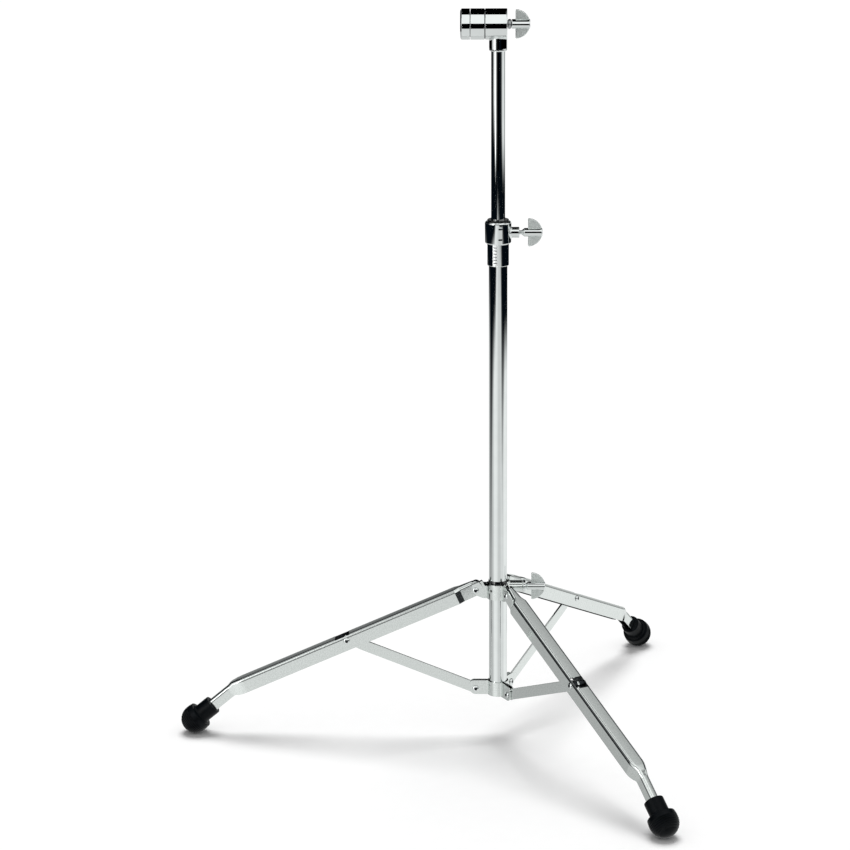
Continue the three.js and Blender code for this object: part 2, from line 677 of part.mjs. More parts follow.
// The channel's section at a station, as points across (Y) and up (height above the centre line)
function channelSection(outer, top, bottom) {
  const arc = (centreX, centreZ, radius, from, to) =>
    [0, HALF, 1].map((share) => {
      const angle = (from + (to - from) * share) * RAD;
      return [centreX + radius * Math.cos(angle), centreZ + radius * Math.sin(angle)];
    });
  const hub = outer - LEG_CORNER;
  const level = top - LEG_CORNER;
  return [
    [outer, bottom],
    ...arc(hub, level, LEG_CORNER, 0, 90),
    ...arc(-hub, level, LEG_CORNER, 90, 180),
    [-outer, bottom],
    [SHEET - outer, bottom],
    ...arc(-hub, level, LEG_CORNER - SHEET, 180, 90),
    ...arc(hub, level, LEG_CORNER - SHEET, 90, 0),
    [outer - SHEET, bottom],
  ];
}

// A closed skin over sections of equal point count, each placed by a point and an up direction
function loft(stations) {
  const outline = stations[0].section.map(([across, up]) => new THREE.Vector2(across, up));
  const count = outline.length;
  const positions = stations.flatMap(({ section, at, up }) =>
    section.flatMap(([across, height]) => [at.x + up.x * height, across, at.y + up.y * height]),
  );
  const faces = [];
  for (let s = 0; s + 1 < stations.length; s += 1)
    for (let i = 0; i < count; i += 1) {
      const [a, b] = [s * count + i, s * count + ((i + 1) % count)];
      faces.push(a, b, a + count, b, b + count, a + count);
    }
  const last = (stations.length - 1) * count;
  for (const [a, b, c] of THREE.ShapeUtils.triangulateShape(outline, []))
    faces.push(a, c, b, last + a, last + b, last + c);
  const geometry = new THREE.BufferGeometry();
  geometry.setAttribute("position", new THREE.Float32BufferAttribute(positions, 3));
  geometry.setIndex(faces);
  return geometry;
}

// A shape in the leg's own frame: x along the centre line from the upper pivot, y up from it
const inLegFrame = (along, up) =>
  lineStart.clone().addScaledVector(fall(legSlope), along).addScaledVector(lift(legSlope), up);

function legPlate(points, nearSide, farSide) {
  const shape = new THREE.Shape(points.map(([along, up]) => inLegFrame(along, up)));
  return solid(sidePlate(shape, nearSide, farSide));
}

function leg(name) {
  const footSection = channelSection(legFootOuter, LEG_END_DEPTH * HALF, -LEG_END_DEPTH * HALF);
  const along = (distance, outer, top) => ({
    at: inLegFrame(distance, 0),
    up: lift(legSlope),
    section: channelSection(outer, top, -top),
  });
  const mitre = lift((legSlope + footSlope) * HALF);
  const stations = [
    along(-legTop, legEndOuter, legTop),
    along(UPPER_PINCH_START, legEndOuter, legTop),
    along(UPPER_PINCH_START + PINCH_LENGTH, legOuter, legTop),
    along(CREASE_AT - PINCH_LENGTH, legOuter, legTop),
    { at: crease, up: mitre, section: footSection },
    {
      at: crease.clone().addScaledVector(fall(footSlope), CREASE_TO_END),
      up: lift(footSlope),
      section: footSection,
    },
  ];
  const channel = solid(loft(stations));

  // Everything past the upper end's round
  const upperEnd = new THREE.Shape();
  const start = inLegFrame(0, legTop);
  upperEnd.moveTo(start.x, start.y);
  upperEnd.absarc(lineStart.x, lineStart.y, legTop, 90 * RAD - legSlope, 270 * RAD - legSlope, false);
  const beyond = [
    [0, -legTop - OVERRUN],
    [-legTop - OVERRUN, -legTop - OVERRUN],
    [-legTop - OVERRUN, legTop + OVERRUN],
    [0, legTop + OVERRUN],
  ].map(([x, y]) => inLegFrame(x, y));
  beyond.forEach((point) => upperEnd.lineTo(point.x, point.y));
  upperEnd.closePath();
  const rounding = solid(sidePlate(upperEnd, -legOuter, legOuter));

  const notch = legPlate(
    [
      [-legTop - OVERRUN, -legTop - OVERRUN],
      [WEB_START, -legTop - OVERRUN],
      [WEB_START, legTop + OVERRUN],
      [-legTop - OVERRUN, legTop + OVERRUN],
    ],
    -legEndInner,
    legEndInner,
  );
  const pivotAlong = Math.sqrt(STRUT_SPAN ** 2 - (LEG_PIVOT_DROP + STRUT_PIVOT_RISE) ** 2);
  const slot = legPlate(
    [
      [pivotAlong - SLOT_ABOVE_PIVOT, 0],
      [pivotAlong + SLOT_BELOW_PIVOT, 0],
      [pivotAlong + SLOT_BELOW_PIVOT, legTop + OVERRUN],
      [pivotAlong - SLOT_ABOVE_PIVOT, legTop + OVERRUN],
    ],
    -SLOT_WIDTH * HALF,
    SLOT_WIDTH * HALF,
  );
  const holes = [collarPivot, strutPivot].map((pivot) =>
    solid(crossRod(RIVET_HOLE, pivot, legOuter + OVERRUN)),
  );
  return mesh(name, cut(channel, [rounding, notch, slot, ...holes]), chrome);
}

// A flat bar with round ends, slimmer where it turns inside the leg
function strut(name) {
  const angle = linkSlope;
  const body = new THREE.Shape();
  const place = (along, up) =>
    hubPivot
      .clone()
      .add(new THREE.Vector2(Math.cos(angle), Math.sin(angle)).multiplyScalar(along))
      .add(new THREE.Vector2(-Math.sin(angle), Math.cos(angle)).multiplyScalar(up));
  const half = STRUT_DEPTH * HALF;
  const from = place(0, half);
  body.moveTo(from.x, from.y);
  body.absarc(hubPivot.x, hubPivot.y, half, angle + 90 * RAD, angle + 270 * RAD, false);
  const lower = place(STRUT_SPAN - STRUT_TAPER, -half);
  body.lineTo(lower.x, lower.y);
  body.absarc(strutPivot.x, strutPivot.y, STRUT_NOSE, angle - 90 * RAD, angle + 90 * RAD, false);
  const upper = place(STRUT_SPAN - STRUT_TAPER, half);
  body.lineTo(upper.x, upper.y);
  body.closePath();
  const bar = solid(sidePlate(body, -STRUT_THICKNESS * HALF, STRUT_THICKNESS * HALF));
  const holes = [hubPivot, strutPivot].map((pivot) =>
    solid(crossRod(RIVET_HOLE, pivot, STRUT_THICKNESS * HALF + OVERRUN)),
  );
  return mesh(name, cut(bar, holes), chrome);
}

// The rubber foot: a sleeve over the leg's end and a ribbed bulb, cut flat where it stands
function footProfile() {
  const onBulb = (distance, inset) => [
    Math.sqrt(Math.max(BULB_RADIUS ** 2 - Math.max(distance, 0) ** 2, 0)) - inset,
    distance,
  ];
  const ribs = [];
  for (let i = 0; i < RIB_COUNT; i += 1) {
    const crest = RIB_START + RIB_PITCH * i;
    ribs.push(onBulb(crest, 0), onBulb(crest + RIB_PITCH * HALF, RIB_DEPTH));
  }
  const lastRib = RIB_START + RIB_PITCH * RIB_COUNT;
  return [
    [0, -SLEEVE_MOUTH],
    [SLEEVE_RADIUS - SLEEVE_EDGE, -SLEEVE_MOUTH],
    [SLEEVE_RADIUS, SLEEVE_EDGE - SLEEVE_MOUTH],
    [SLEEVE_RADIUS, -BULB_SHOULDER],
    [BULB_RIM, -BULB_SHOULDER],
    ...ribs,
    onBulb(lastRib, 0),
    [0, BULB_RADIUS],
  ];
}

function foot(name) {
  const body = turnedGeometry(footProfile(), FOOT_SIDES)
    .rotateY(90 * RAD + footSlope)
    .translate(bulb.x, 0, bulb.y);
  const endTop = LEG_END_DEPTH * HALF + FIT_GAP;
  const pocketAcross = legFootOuter + FIT_GAP;
  const pocketTo = CREASE_TO_END - CREASE_TO_BULB + FIT_GAP;
  const pocket = box(
    new THREE.Vector3(-SLEEVE_MOUTH - OVERRUN, -pocketAcross, -endTop),
    new THREE.Vector3(pocketTo, pocketAcross, endTop),
  )
    .rotateY(footSlope)
    .translate(bulb.x, 0, bulb.y);
  const ground = box(
    new THREE.Vector3(bulb.x - BULB_RADIUS * 2, -BULB_RADIUS * 2, -BULB_RADIUS),
    new THREE.Vector3(bulb.x + BULB_RADIUS * 2, BULB_RADIUS * 2, 0),
  );
  return mesh(name, cut(solid(body), [solid(pocket), solid(ground)]), rubber);
}

function legSet(name, azimuth) {
  const group = new THREE.Group();
  const besideStrut = STRUT_THICKNESS * HALF + FIT_GAP;
  const besideFlange = SLOT_WIDTH * HALF - FIT_GAP;
  group.add(
    leg(`leg_${name}`),
    foot(`foot_${name}`),
    strut(`strut_${name}`),
    rivet(`leg_rivet_${name}`, collarPivot, legEndOuter),
    spacer(`leg_spacer_${name}`, collarPivot, FIT_GAP - earInner, earInner - FIT_GAP),
    rivet(`strut_rivet_${name}`, strutPivot, legOuter),
    spacer(`strut_spacer_a_${name}`, strutPivot, besideStrut, besideFlange),
    spacer(`strut_spacer_b_${name}`, strutPivot, -besideFlange, -besideStrut),
    rivet(`hub_rivet_${name}`, hubPivot, earOuter),
  );
  group.rotation.z = azimuth;
  return group;
}

const stand = new THREE.Group();
stand.add(
  baseTube(),
  tubeEndPlug(),
  lowerCollar(),
  clampHousing(),
  clampBush(),
  screwPad("clamp_screw_pad", upperRadius, clampScrewHeight),
  wingScrew("clamp_wing_screw", screwTip(upperRadius), CLAMP_BOSS_END, clampScrewHeight),
  upperTube(),
  tubeGuideBush(),
  headBody(),
  frictionWasher(),
  innerJaw(),
  jawPad("inner_jaw_pad", innerPadEnd),
  outerJaw(),
  jawPad("outer_jaw_pad", outerPadFace - JAW_PAD_THICKNESS),
  drawBolt(),
  headNutWasher(),
  headWingNut(),
  legCollar(),
  collarBush(),
  screwPad("collar_screw_pad", baseRadius, collarScrewHeight),
  wingScrew(
    "collar_wing_screw",
    screwTip(baseRadius),
    COLLAR_BOSS_END,
    collarScrewHeight,
    COLLAR_FLANGE_RADIUS,
  ),
  ...LEG_NAMES.map((name, i) => legSet(name, legAzimuths[i])),
);

// The origin is the centre of the footprint
const reach = new THREE.Box3().setFromObject(stand, true);
stand.position.x = -(reach.min.x + reach.max.x) * HALF;

export default stand;
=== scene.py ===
# The looks of a folding frame drum stand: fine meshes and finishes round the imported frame.
import json
import math

import bmesh
import bpy
from mathutils import Matrix, Vector


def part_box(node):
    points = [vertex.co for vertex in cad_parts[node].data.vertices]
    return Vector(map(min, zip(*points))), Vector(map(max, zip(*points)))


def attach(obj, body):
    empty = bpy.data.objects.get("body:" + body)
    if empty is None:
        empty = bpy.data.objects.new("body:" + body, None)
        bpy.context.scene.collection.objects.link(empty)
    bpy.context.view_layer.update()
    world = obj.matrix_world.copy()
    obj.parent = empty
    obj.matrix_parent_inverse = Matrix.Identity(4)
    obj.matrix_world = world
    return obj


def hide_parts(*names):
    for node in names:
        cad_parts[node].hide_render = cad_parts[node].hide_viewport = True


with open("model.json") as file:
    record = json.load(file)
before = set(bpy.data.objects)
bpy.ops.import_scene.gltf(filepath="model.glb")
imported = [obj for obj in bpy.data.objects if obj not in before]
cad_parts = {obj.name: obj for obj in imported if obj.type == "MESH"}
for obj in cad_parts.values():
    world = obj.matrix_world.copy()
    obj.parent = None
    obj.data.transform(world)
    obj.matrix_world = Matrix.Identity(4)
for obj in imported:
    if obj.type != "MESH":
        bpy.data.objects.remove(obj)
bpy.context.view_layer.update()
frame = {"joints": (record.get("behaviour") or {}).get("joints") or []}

MM = 0.001
HALF = 0.5

# Fineness
TURN_SEGMENTS = 96
SMALL_SEGMENTS = 40
FILLET_STEPS = 5
SHARP_ANGLE = math.radians(34)

# Mast and clamp
TUBE_EDGE = 0.5 * MM
BASE_TUBE_WALL = 1.5 * MM
UPPER_TUBE_WALL = 1.2 * MM
FIT_GAP = 0.3 * MM
SMALL_EDGE = 0.3 * MM
SINK = 0.05 * MM
BUSH_GAP = 0.25 * MM
BUSH_WALL = 1.1 * MM
BUSH_RIM = 2.0 * MM
PLUG_FLANGE = 1.6 * MM
PLUG_WALL = 2.0 * MM
PAD_RADIUS = 2.8 * MM
HOUSING_BORE_GAP = 0.3 * MM
HOUSING_SLEEVE_RADIUS = 14.7 * MM
HOUSING_COLLAR_HEIGHT = 30.5 * MM
HOUSING_EDGE = 2.6 * MM
HOUSING_LOWER_EDGE = 1.4 * MM
HOUSING_NECK_FILLET = 0.8 * MM
HOUSING_DRAFT = 0.4 * MM
DIMPLE_WIDTH = 5.6 * MM
DIMPLE_HEIGHT = 2.3 * MM
DIMPLE_DEPTH = 1.6 * MM
DIMPLE_HEIGHTS_SHARE = (0.24, 0.72)
DIMPLE_TURN = math.radians(10)
MARK_COUNT = 6
MARK_PITCH = 4.3 * MM
MARK_WIDTH = 4.6 * MM
MARK_HEIGHT = 1.0 * MM
MARK_DEPTH = 0.5 * MM
MARK_TURN = math.radians(-16)
PANEL_HALF_TURN = math.radians(14)
CLAMP_BOSS_RADIUS = 7.5 * MM
COLLAR_BOSS_RADIUS = 8.2 * MM
BOSS_EDGE = 1.0 * MM
BOSS_FILLET = 1.6 * MM

# Wing screws and nut
SCREW_RADIUS = 3.0 * MM
SCREW_HOLE = 3.3 * MM
THREAD_PITCH = 1.0 * MM
THREAD_DEPTH = 0.5 * MM
THREAD_STEPS = 6
WING_RADIUS = 19.6 * MM
WING_THICKNESS = 3.2 * MM
WING_EDGE = 1.0 * MM
WING_CORNER = 1.4 * MM
HUB_RADIUS = 6.0 * MM
HUB_LEAD = 4.8 * MM
FLANGE_RADIUS = 8.8 * MM
FLANGE_WIDTH = 3.5 * MM
FLANGE_EDGE = 0.5 * MM
HUB_CONE = 4.0 * MM
HUB_NOSE = 1.5 * MM
NUT_HUB_RADIUS = 6.5 * MM
NUT_END_WALL = 3.0 * MM

# Head
HEAD_RADIUS = 20.8 * MM
GROOVE_EDGE = 0.35 * MM
GROOVE_LIP = 0.45 * MM
LIP_START = 19.0 * MM
HEAD_END_EDGE = 1.2 * MM
OUTER_JAW_DROP = 2.8 * MM
OUTER_JAW_RUN = 2.0 * MM
OUTER_JAW_EDGE = 0.6 * MM
NECK_RADIUS = 12.2 * MM
NECK_EDGE = 1.8 * MM
NECK_FILLET = 1.4 * MM
SOCKET_DEPTH = 15.0 * MM
JAW_PAD_RADIUS = 17.0 * MM
JAW_PAD_HOLE = 5.0 * MM
BOLT_POCKET = 9.8 * MM

# Collars
COLLAR_WALL = 1.6 * MM
EAR_GAP = 3.8 * MM
EAR_FILLET = 2.2 * MM
LEG_EAR_RADIUS = 7.2 * MM
LEG_EAR_ROOT = 21.0 * MM
LEG_RING_STEP = 4.8 * MM
LEG_FOLD_SCOOP = 8.6 * MM
SCOOP_FROM = 22.5 * MM
SCOOP_RUN = 5.5 * MM
SCOOP_BACK = 10.0 * MM
STEP_RUN = 3.2 * MM
HUB_EAR_RADIUS = 8.5 * MM
HUB_EAR_TOP_CORNER = 6.0 * MM
BUSH_TAPER = 0.9 * MM
SHEET_EDGE = 0.35 * MM
PEG_HOLE = 1.8 * MM
PEG_AZIMUTH = math.radians(-127)

# Leg channel
SHEET = 1.5 * MM
LEG_WIDTH = 22.0 * MM
LEG_DEPTH = 21.5 * MM
LEG_END_WIDTH = 12.0 * MM
LEG_END_DEPTH = 16.5 * MM
LEG_CORNER = 4.5 * MM
PIVOT_OFFSET = 3.0 * MM
FLARE_START = 2.0 * MM
FLARE_WIDTH = 7.4 * MM
FLARE_BLEND = 8.0 * MM
UPPER_PINCH_START = 20.0 * MM
UPPER_PINCH_END = 27.4 * MM
UPPER_PINCH_BLEND = 2.0 * MM
FOOT_PINCH_BLEND = 36.0 * MM
FOOT_PINCH_LENGTH = 16.0 * MM
FOOT_PINCH_PAST = 2.0 * MM
DEPTH_PINCH_BEFORE = 6.0 * MM
DEPTH_PINCH_LENGTH = 11.0 * MM
WEB_START = 0.0 * MM
CREASE_AT = 375.5 * MM
CREASE_BLEND = 6.0 * MM
CREASE_TO_END = 62.0 * MM
SLOT_WIDTH = 18.6 * MM
SLOT_ABOVE_PIVOT = 7.0 * MM
SLOT_BELOW_PIVOT = 15.0 * MM

# Strut
STRUT_THICKNESS = 3.0 * MM
STRUT_DEPTH = 15.5 * MM
STRUT_NOSE = 5.2 * MM
STRUT_TAPER = 22.0 * MM
STRUT_EDGE = 0.6 * MM

# Rubber foot
BULB_RADIUS = 20.4 * MM
BULB_SHOULDER = 10.5 * MM
BULB_RIM = 19.4 * MM
SLEEVE_RADIUS = 13.6 * MM
SLEEVE_MOUTH = 33.5 * MM
SLEEVE_EDGE = 1.0 * MM
SLEEVE_FILLET = 3.0 * MM
RIM_EDGE = 1.3 * MM
RIB_COUNT = 7
RIB_PITCH = 2.7 * MM
RIB_DEPTH = 0.9 * MM
RIB_START = -3.0 * MM
RIB_STEPS = 6

# Rivets and spacers
RIVET_RADIUS = 2.7 * MM
RIVET_HOLE = 3.0 * MM
RIVET_HEAD_RADIUS = 4.7 * MM
RIVET_HEAD_HEIGHT = 2.1 * MM
RIVET_DIMPLE = 2.1 * MM
RIVET_DIMPLE_DEPTH = 1.5 * MM
SPACER_RADIUS = 5.0 * MM

# Camera, as the photograph's
CAMERA_PLACE = (0.1027, -4.0096, 1.5553)
CAMERA_PITCH = math.radians(15.35)
CAMERA_PAN = math.radians(1.324)
CAMERA_LENS = 126.96

OVERRUN = 2.0 * MM


# Places worked out from the frame
def joint_place(name):
    found = [joint for joint in frame["joints"] if joint["name"] == name]
    return Vector(found[0]["pos_m"])


def middle(node):
    low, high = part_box(node)
    return (low + high) * HALF


def node_span(node, axis=2):
    low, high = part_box(node)
    return low[axis], high[axis]


def node_radius(node):
    low, high = node_span(node, 1)
    return (high - low) * HALF


MAST_X = middle("base_tube").x
MAST = Matrix.Translation((MAST_X, 0, 0))
BASE_RADIUS = node_radius("base_tube")
UPPER_RADIUS = node_radius("upper_tube")
HEAD_AXIS = joint_place("drum_tilt").z
CLAMP_AXIS = joint_place("clamp_screw_turn").z
COLLAR_AXIS = joint_place("collar_screw_turn").z


def reach_span(node):
    """Where a node starts and ends along X, counted from the mast's axis."""
    return [x - MAST_X for x in node_span(node, 0)]


def in_leg_plane(place):
    """Reach from the mast's axis and height."""
    return Vector((math.hypot(place.x - MAST_X, place.y), place.z))


HUB_PIVOT = in_leg_plane(joint_place("fold"))
STRUT_PIVOT = in_leg_plane(joint_place("leg_left_hinge"))
COLLAR_PIVOT = in_leg_plane(joint_place("collar_hinge"))
LEG_FIRST_JOINT = {"left": "fold", "front": "strut_front_hinge", "back": "strut_back_hinge"}


def leg_azimuth(leg):
    place = joint_place(LEG_FIRST_JOINT[leg])
    return math.atan2(place.y, place.x - MAST_X)


def fall(slope):
    return Vector((math.cos(slope), -math.sin(slope)))


def lift(slope):
    return Vector((math.sin(slope), math.cos(slope)))


LINK = STRUT_PIVOT - COLLAR_PIVOT
LEG_SLOPE = math.atan2(-LINK.y, LINK.x) + math.asin(2 * PIVOT_OFFSET / LINK.length)
LINE_START = COLLAR_PIVOT + lift(LEG_SLOPE) * PIVOT_OFFSET
CREASE = LINE_START + fall(LEG_SLOPE) * CREASE_AT
FOOT_LOW, FOOT_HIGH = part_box("foot_left")
BULB_FLAT = 0.5 * MM
CAD_BULB_RADIUS = 20.5 * MM
BULB = Vector((MAST_X - FOOT_LOW.x - CAD_BULB_RADIUS, CAD_BULB_RADIUS - BULB_FLAT))
FOOT_SLOPE = math.atan2(CREASE.y - BULB.y, BULB.x - CREASE.x)


# Node graphs
class Graph:
    """Short ways to add nodes to a material's or the world's tree."""

    def __init__(self, tree):
        self.tree = tree
        tree.nodes.clear()

    def add(self, kind, **settings):
        node = self.tree.nodes.new(kind)
        for key, value in settings.items():
            setattr(node, key, value)
        return node

    def put(self, socket, value):
        if isinstance(value, bpy.types.NodeSocket):
            self.tree.links.new(value, socket)
        else:
            socket.default_value = value

    def math(self, operation, *values):
        node = self.add("ShaderNodeMath", operation=operation)
        for socket, value in zip(node.inputs, values):
            self.put(socket, value)
        return node.outputs[0]

    def rise(self, value, low, high):
        """Goes smoothly from 0 at low to 1 at high."""
        node = self.add("ShaderNodeMapRange", interpolation_type="SMOOTHSTEP")
        self.put(node.inputs["Value"], value)
        self.put(node.inputs["From Min"], low)
        self.put(node.inputs["From Max"], high)
        return node.outputs["Result"]

    def spread(self, value, low, high):
        """Maps 0..1 onto low..high."""
        node = self.add("ShaderNodeMapRange")
        self.put(node.inputs["Value"], value)
        self.put(node.inputs["To Min"], low)
        self.put(node.inputs["To Max"], high)
        return node.outputs["Result"]

    def band(self, value, low, high, soft):
        up = self.rise(value, low - soft, low + soft)
        down = self.math("SUBTRACT", 1, self.rise(value, high - soft, high + soft))
        return self.math("MULTIPLY", up, down)

    def most(self, *values):
        top = values[0]
        for value in values[1:]:
            top = self.math("MAXIMUM", top, value)
        return top

    def product(self, *values):
        total = values[0]
        for value in values[1:]:
            total = self.math("MULTIPLY", total, value)
        return total

    def table(self, value, low, high, stops):
        """Reads a level off (place, level) stops, straight lines between them."""
        node = self.add("ShaderNodeValToRGB")
        self.put(node.inputs[0], self.math("DIVIDE", self.math("SUBTRACT", value, low), high - low))
        elements = node.color_ramp.elements
        elements.remove(elements[-1])
        for place, level in stops:
            share = (place - low) / (high - low)
            element = elements[0] if place == low else elements.new(share)
            element.position = share
            element.color = (level, level, level, 1)
        return node.outputs[0]

    def without(self, value):
        return self.math("SUBTRACT", 1, value)

    def noise(self, coordinates, scale, detail=3, roughness=0.5):
        node = self.add("ShaderNodeTexNoise")
        self.put(node.inputs["Vector"], coordinates)
        self.put(node.inputs["Scale"], scale)
        self.put(node.inputs["Detail"], detail)
        self.put(node.inputs["Roughness"], roughness)
        return node.outputs[0]

    def relief(self, shader, height, depth):
        """Bumps of a depth on a shader."""
        bump = self.add("ShaderNodeBump")
        bump.inputs["Distance"].default_value = depth
        self.put(bump.inputs["Height"], height)
        self.put(shader.inputs["Normal"], bump.outputs["Normal"])

    def mix_colour(self, factor, first, second):
        node = self.add("ShaderNodeMix", data_type="RGBA")
        self.put(node.inputs["Factor"], factor)
        self.put(node.inputs[6], first)
        self.put(node.inputs[7], second)
        return node.outputs[2]

    def stretched(self, scale):
        """Object coordinates, scaled along each axis."""
        place = self.add("ShaderNodeTexCoord")
        mapping = self.add("ShaderNodeMapping")
        self.put(mapping.inputs["Vector"], place.outputs["Object"])
        mapping.inputs["Scale"].default_value = scale
        return mapping.outputs["Vector"]


def new_material(name):
    material = bpy.data.materials.new(name)
    material.use_nodes = True
    graph = Graph(material.node_tree)
    shader = graph.add("ShaderNodeBsdfPrincipled")
    output = graph.add("ShaderNodeOutputMaterial")
    graph.put(output.inputs["Surface"], shader.outputs["BSDF"])
    return material, graph, shader


def chrome(name, clear, dull, mottle_scale, roughness, bump_scale, bump_height):
    """Chrome plate: blotches from clear to dull, roughness that follows them and a low relief."""
    material, graph, shader = new_material(name)
    shader.inputs["Metallic"].default_value = 1
    place = graph.stretched((1, 1, 1))
    blotch = graph.noise(place, mottle_scale, detail=4, roughness=0.6)
    blotch = graph.rise(blotch, 0.35, 0.65)
    graph.put(shader.inputs["Base Color"], graph.mix_colour(blotch, (*clear, 1), (*dull, 1)))
    graph.put(shader.inputs["Roughness"], graph.spread(blotch, roughness[0], roughness[1]))
    graph.relief(shader, graph.noise(place, bump_scale, detail=3, roughness=0.55), bump_height)
    return material


def moulded(name, colour, worn_colour, roughness, shine, bump_scale, bump_height):
    """Moulded rubber or nylon: a fine grain, greyer where it is handled."""
    material, graph, shader = new_material(name)
    shader.inputs["Specular IOR Level"].default_value = shine
    place = graph.stretched((1, 1, 1))
    cloud = graph.noise(place, 90, detail=5, roughness=0.6)
    dust = graph.rise(cloud, 0.45, 0.75)
    graph.put(shader.inputs["Base Color"], graph.mix_colour(dust, (*colour, 1), (*worn_colour, 1)))
    graph.put(shader.inputs["Roughness"], graph.spread(cloud, roughness[0], roughness[1]))
    graph.relief(shader, graph.noise(place, bump_scale, detail=4, roughness=0.6), bump_height)
    return material


BRIGHT = (0.76, 0.785, 0.78)
POLISHED = chrome("polished_chrome", BRIGHT, (0.735, 0.76, 0.755), 60, (0.015, 0.035), 90, 0.001 * MM)
PRESSED = chrome(
    "pressed_chrome", (0.76, 0.79, 0.775), (0.67, 0.70, 0.685), 620, (0.06, 0.12), 700, 0.02 * MM
)
CAST = chrome(
    "cast_chrome", (0.80, 0.83, 0.815), (0.64, 0.68, 0.665), 800, (0.42, 0.55), 1000, 0.1 * MM
)
PANEL = chrome("satin_panel", (0.96, 0.97, 0.97), (0.92, 0.94, 0.93), 800, (0.36, 0.42), 1000, 0.03 * MM)
# Painted shade: a near-black finish for the hollows, cuts and inner faces, standing in for the shade in them.
PAINTED_SHADE = chrome(
    "painted_shade_inside", (0.05, 0.055, 0.06), (0.02, 0.022, 0.025), 300, (0.35, 0.6), 800, 0.05 * MM
)
ZINC = chrome("zinc_plate", (0.42, 0.43, 0.43), (0.30, 0.31, 0.32), 500, (0.3, 0.45), 1400, 0.03 * MM)
# Painted shade: the zinc spacers are made near-black for the shade they sit in, between the ears and inside the
# leg slots.
SHADED_SPACER = chrome(
    "painted_shade_spacer", (0.04, 0.045, 0.05), (0.02, 0.022, 0.025), 500, (0.25, 0.4), 1400, 0.03 * MM
)
RUBBER = moulded(
    "black_rubber", (0.0012, 0.002, 0.003), (0.003, 0.0045, 0.006), (0.3, 0.42), 0.09, 1500, 0.06 * MM
)
NYLON = moulded(
    "black_nylon", (0.0015, 0.002, 0.003), (0.004, 0.005, 0.006), (0.2, 0.3), 0.3, 2200, 0.03 * MM
)
GLOSS_NYLON = moulded(
    "polished_nylon", (0.0015, 0.002, 0.003), (0.003, 0.004, 0.005), (0.04, 0.08), 1.0, 900, 0.01 * MM
)


# Mesh making
def rounded(points, closed=True, steps=FILLET_STEPS):
    """An outline whose points may carry a third number, the radius of the corner there."""
    made = []
    count = len(points)
    for i, point in enumerate(points):
        here = Vector(point[:2])
        radius = point[2] if len(point) > 2 else 0
        if not radius or (not closed and i in (0, count - 1)):
            made.append(here)
            continue
        before = (Vector(points[i - 1][:2]) - here).normalized()
        after = (Vector(points[(i + 1) % count][:2]) - here).normalized()
        opening = before.angle(after)
        reach = radius / math.tan(opening * HALF)
        centre = here + (before + after).normalized() * (radius / math.sin(opening * HALF))
        start = here + before * reach - centre
        end = here + after * reach - centre
        turn = math.atan2(start.x * end.y - start.y * end.x, start.dot(end))
        for step in range(steps + 1):
            angle = turn * step / steps
            cosine, sine = math.cos(angle), math.sin(angle)
            x = start.x * cosine - start.y * sine
            y = start.x * sine + start.y * cosine
            made.append(centre + Vector((x, y)))
    return made


def linked(name, bm):
    """An object in the scene made from a finished mesh."""
    mesh = bpy.data.meshes.new(name)
    bm.to_mesh(mesh)
    bm.free()
    made = bpy.data.objects.new(name, mesh)
    bpy.context.scene.collection.objects.link(made)
    return made


def mesh_object(name, bm, place=None):
    bmesh.ops.remove_doubles(bm, verts=bm.verts, dist=1e-7)
    bmesh.ops.recalc_face_normals(bm, faces=bm.faces)
    if place is not None:
        bm.transform(place)
        if place.determinant() < 0:
            bmesh.ops.reverse_faces(bm, faces=bm.faces)
    return linked(name, bm)


def skin(bm, rings, closed_round=True, closed_along=False):
    """Quads between rings of vertices; a ring of one vertex is a pole."""
    pairs = list(zip(rings, rings[1:]))
    if closed_along:
        pairs.append((rings[-1], rings[0]))
    for low, high in pairs:
        count = max(len(low), len(high))
        for i in range(count if closed_round else count - 1):
            j = (i + 1) % count
            if len(low) == 1:
                bm.faces.new((low[0], high[i], high[j]))
            elif len(high) == 1:
                bm.faces.new((low[i], high[0], low[j]))
            else:
                bm.faces.new((low[i], high[i], high[j], low[j]))


def turned(name, profile, place, segments=TURN_SEGMENTS):
    """A turned piece about its own Z from an outline of (radius, height[, corner radius])."""
    on_axis = profile[0][0] == 0
    outline = rounded(profile, closed=not on_axis)
    bm = bmesh.new()
    rings = []
    for radius, height in outline:
        if radius < 1e-9:
            rings.append([bm.verts.new((0, 0, height))])
            continue
        angles = [2 * math.pi * i / segments for i in range(segments)]
        rings.append([bm.verts.new((radius * math.cos(a), radius * math.sin(a), height)) for a in angles])
    skin(bm, rings, closed_along=not on_axis)
    return mesh_object(name, bm, place)


def on_mast(height):
    return Matrix.Translation((MAST_X, 0, height))


def along_x(height):
    """Own Z laid along the row's X, at the mast's axis and a height."""
    return on_mast(height) @ Matrix.Rotation(math.pi * HALF, 4, "Y")


def in_leg(leg):
    """Own X is reach from the mast, own Y is across the leg."""
    return MAST @ Matrix.Rotation(leg_azimuth(leg), 4, "Z")


def across_leg(leg, pivot):
    """Own Z laid across the leg at a pivot of its plane."""
    turn = Matrix.Rotation(math.pi * HALF, 4, "X")
    return in_leg(leg) @ Matrix.Translation((pivot.x, 0, pivot.y)) @ turn


def plate(name, outline, near, far, edge, place):
    """A flat piece drawn in the leg's plane (reach, height), with rounded rims."""
    bm = bmesh.new()
    sides = [[bm.verts.new((x, across, z)) for x, z in outline] for across in (near, far)]
    skin(bm, sides)
    caps = [bm.faces.new(sides[0]), bm.faces.new(reversed(sides[1]))]
    bmesh.ops.recalc_face_normals(bm, faces=bm.faces)
    if edge:
        rim = {e for cap in caps for e in cap.edges}
        bmesh.ops.bevel(bm, geom=list(rim), offset=edge, segments=3, profile=0.5, affect="EDGES")
    return mesh_object(name, bm, place)


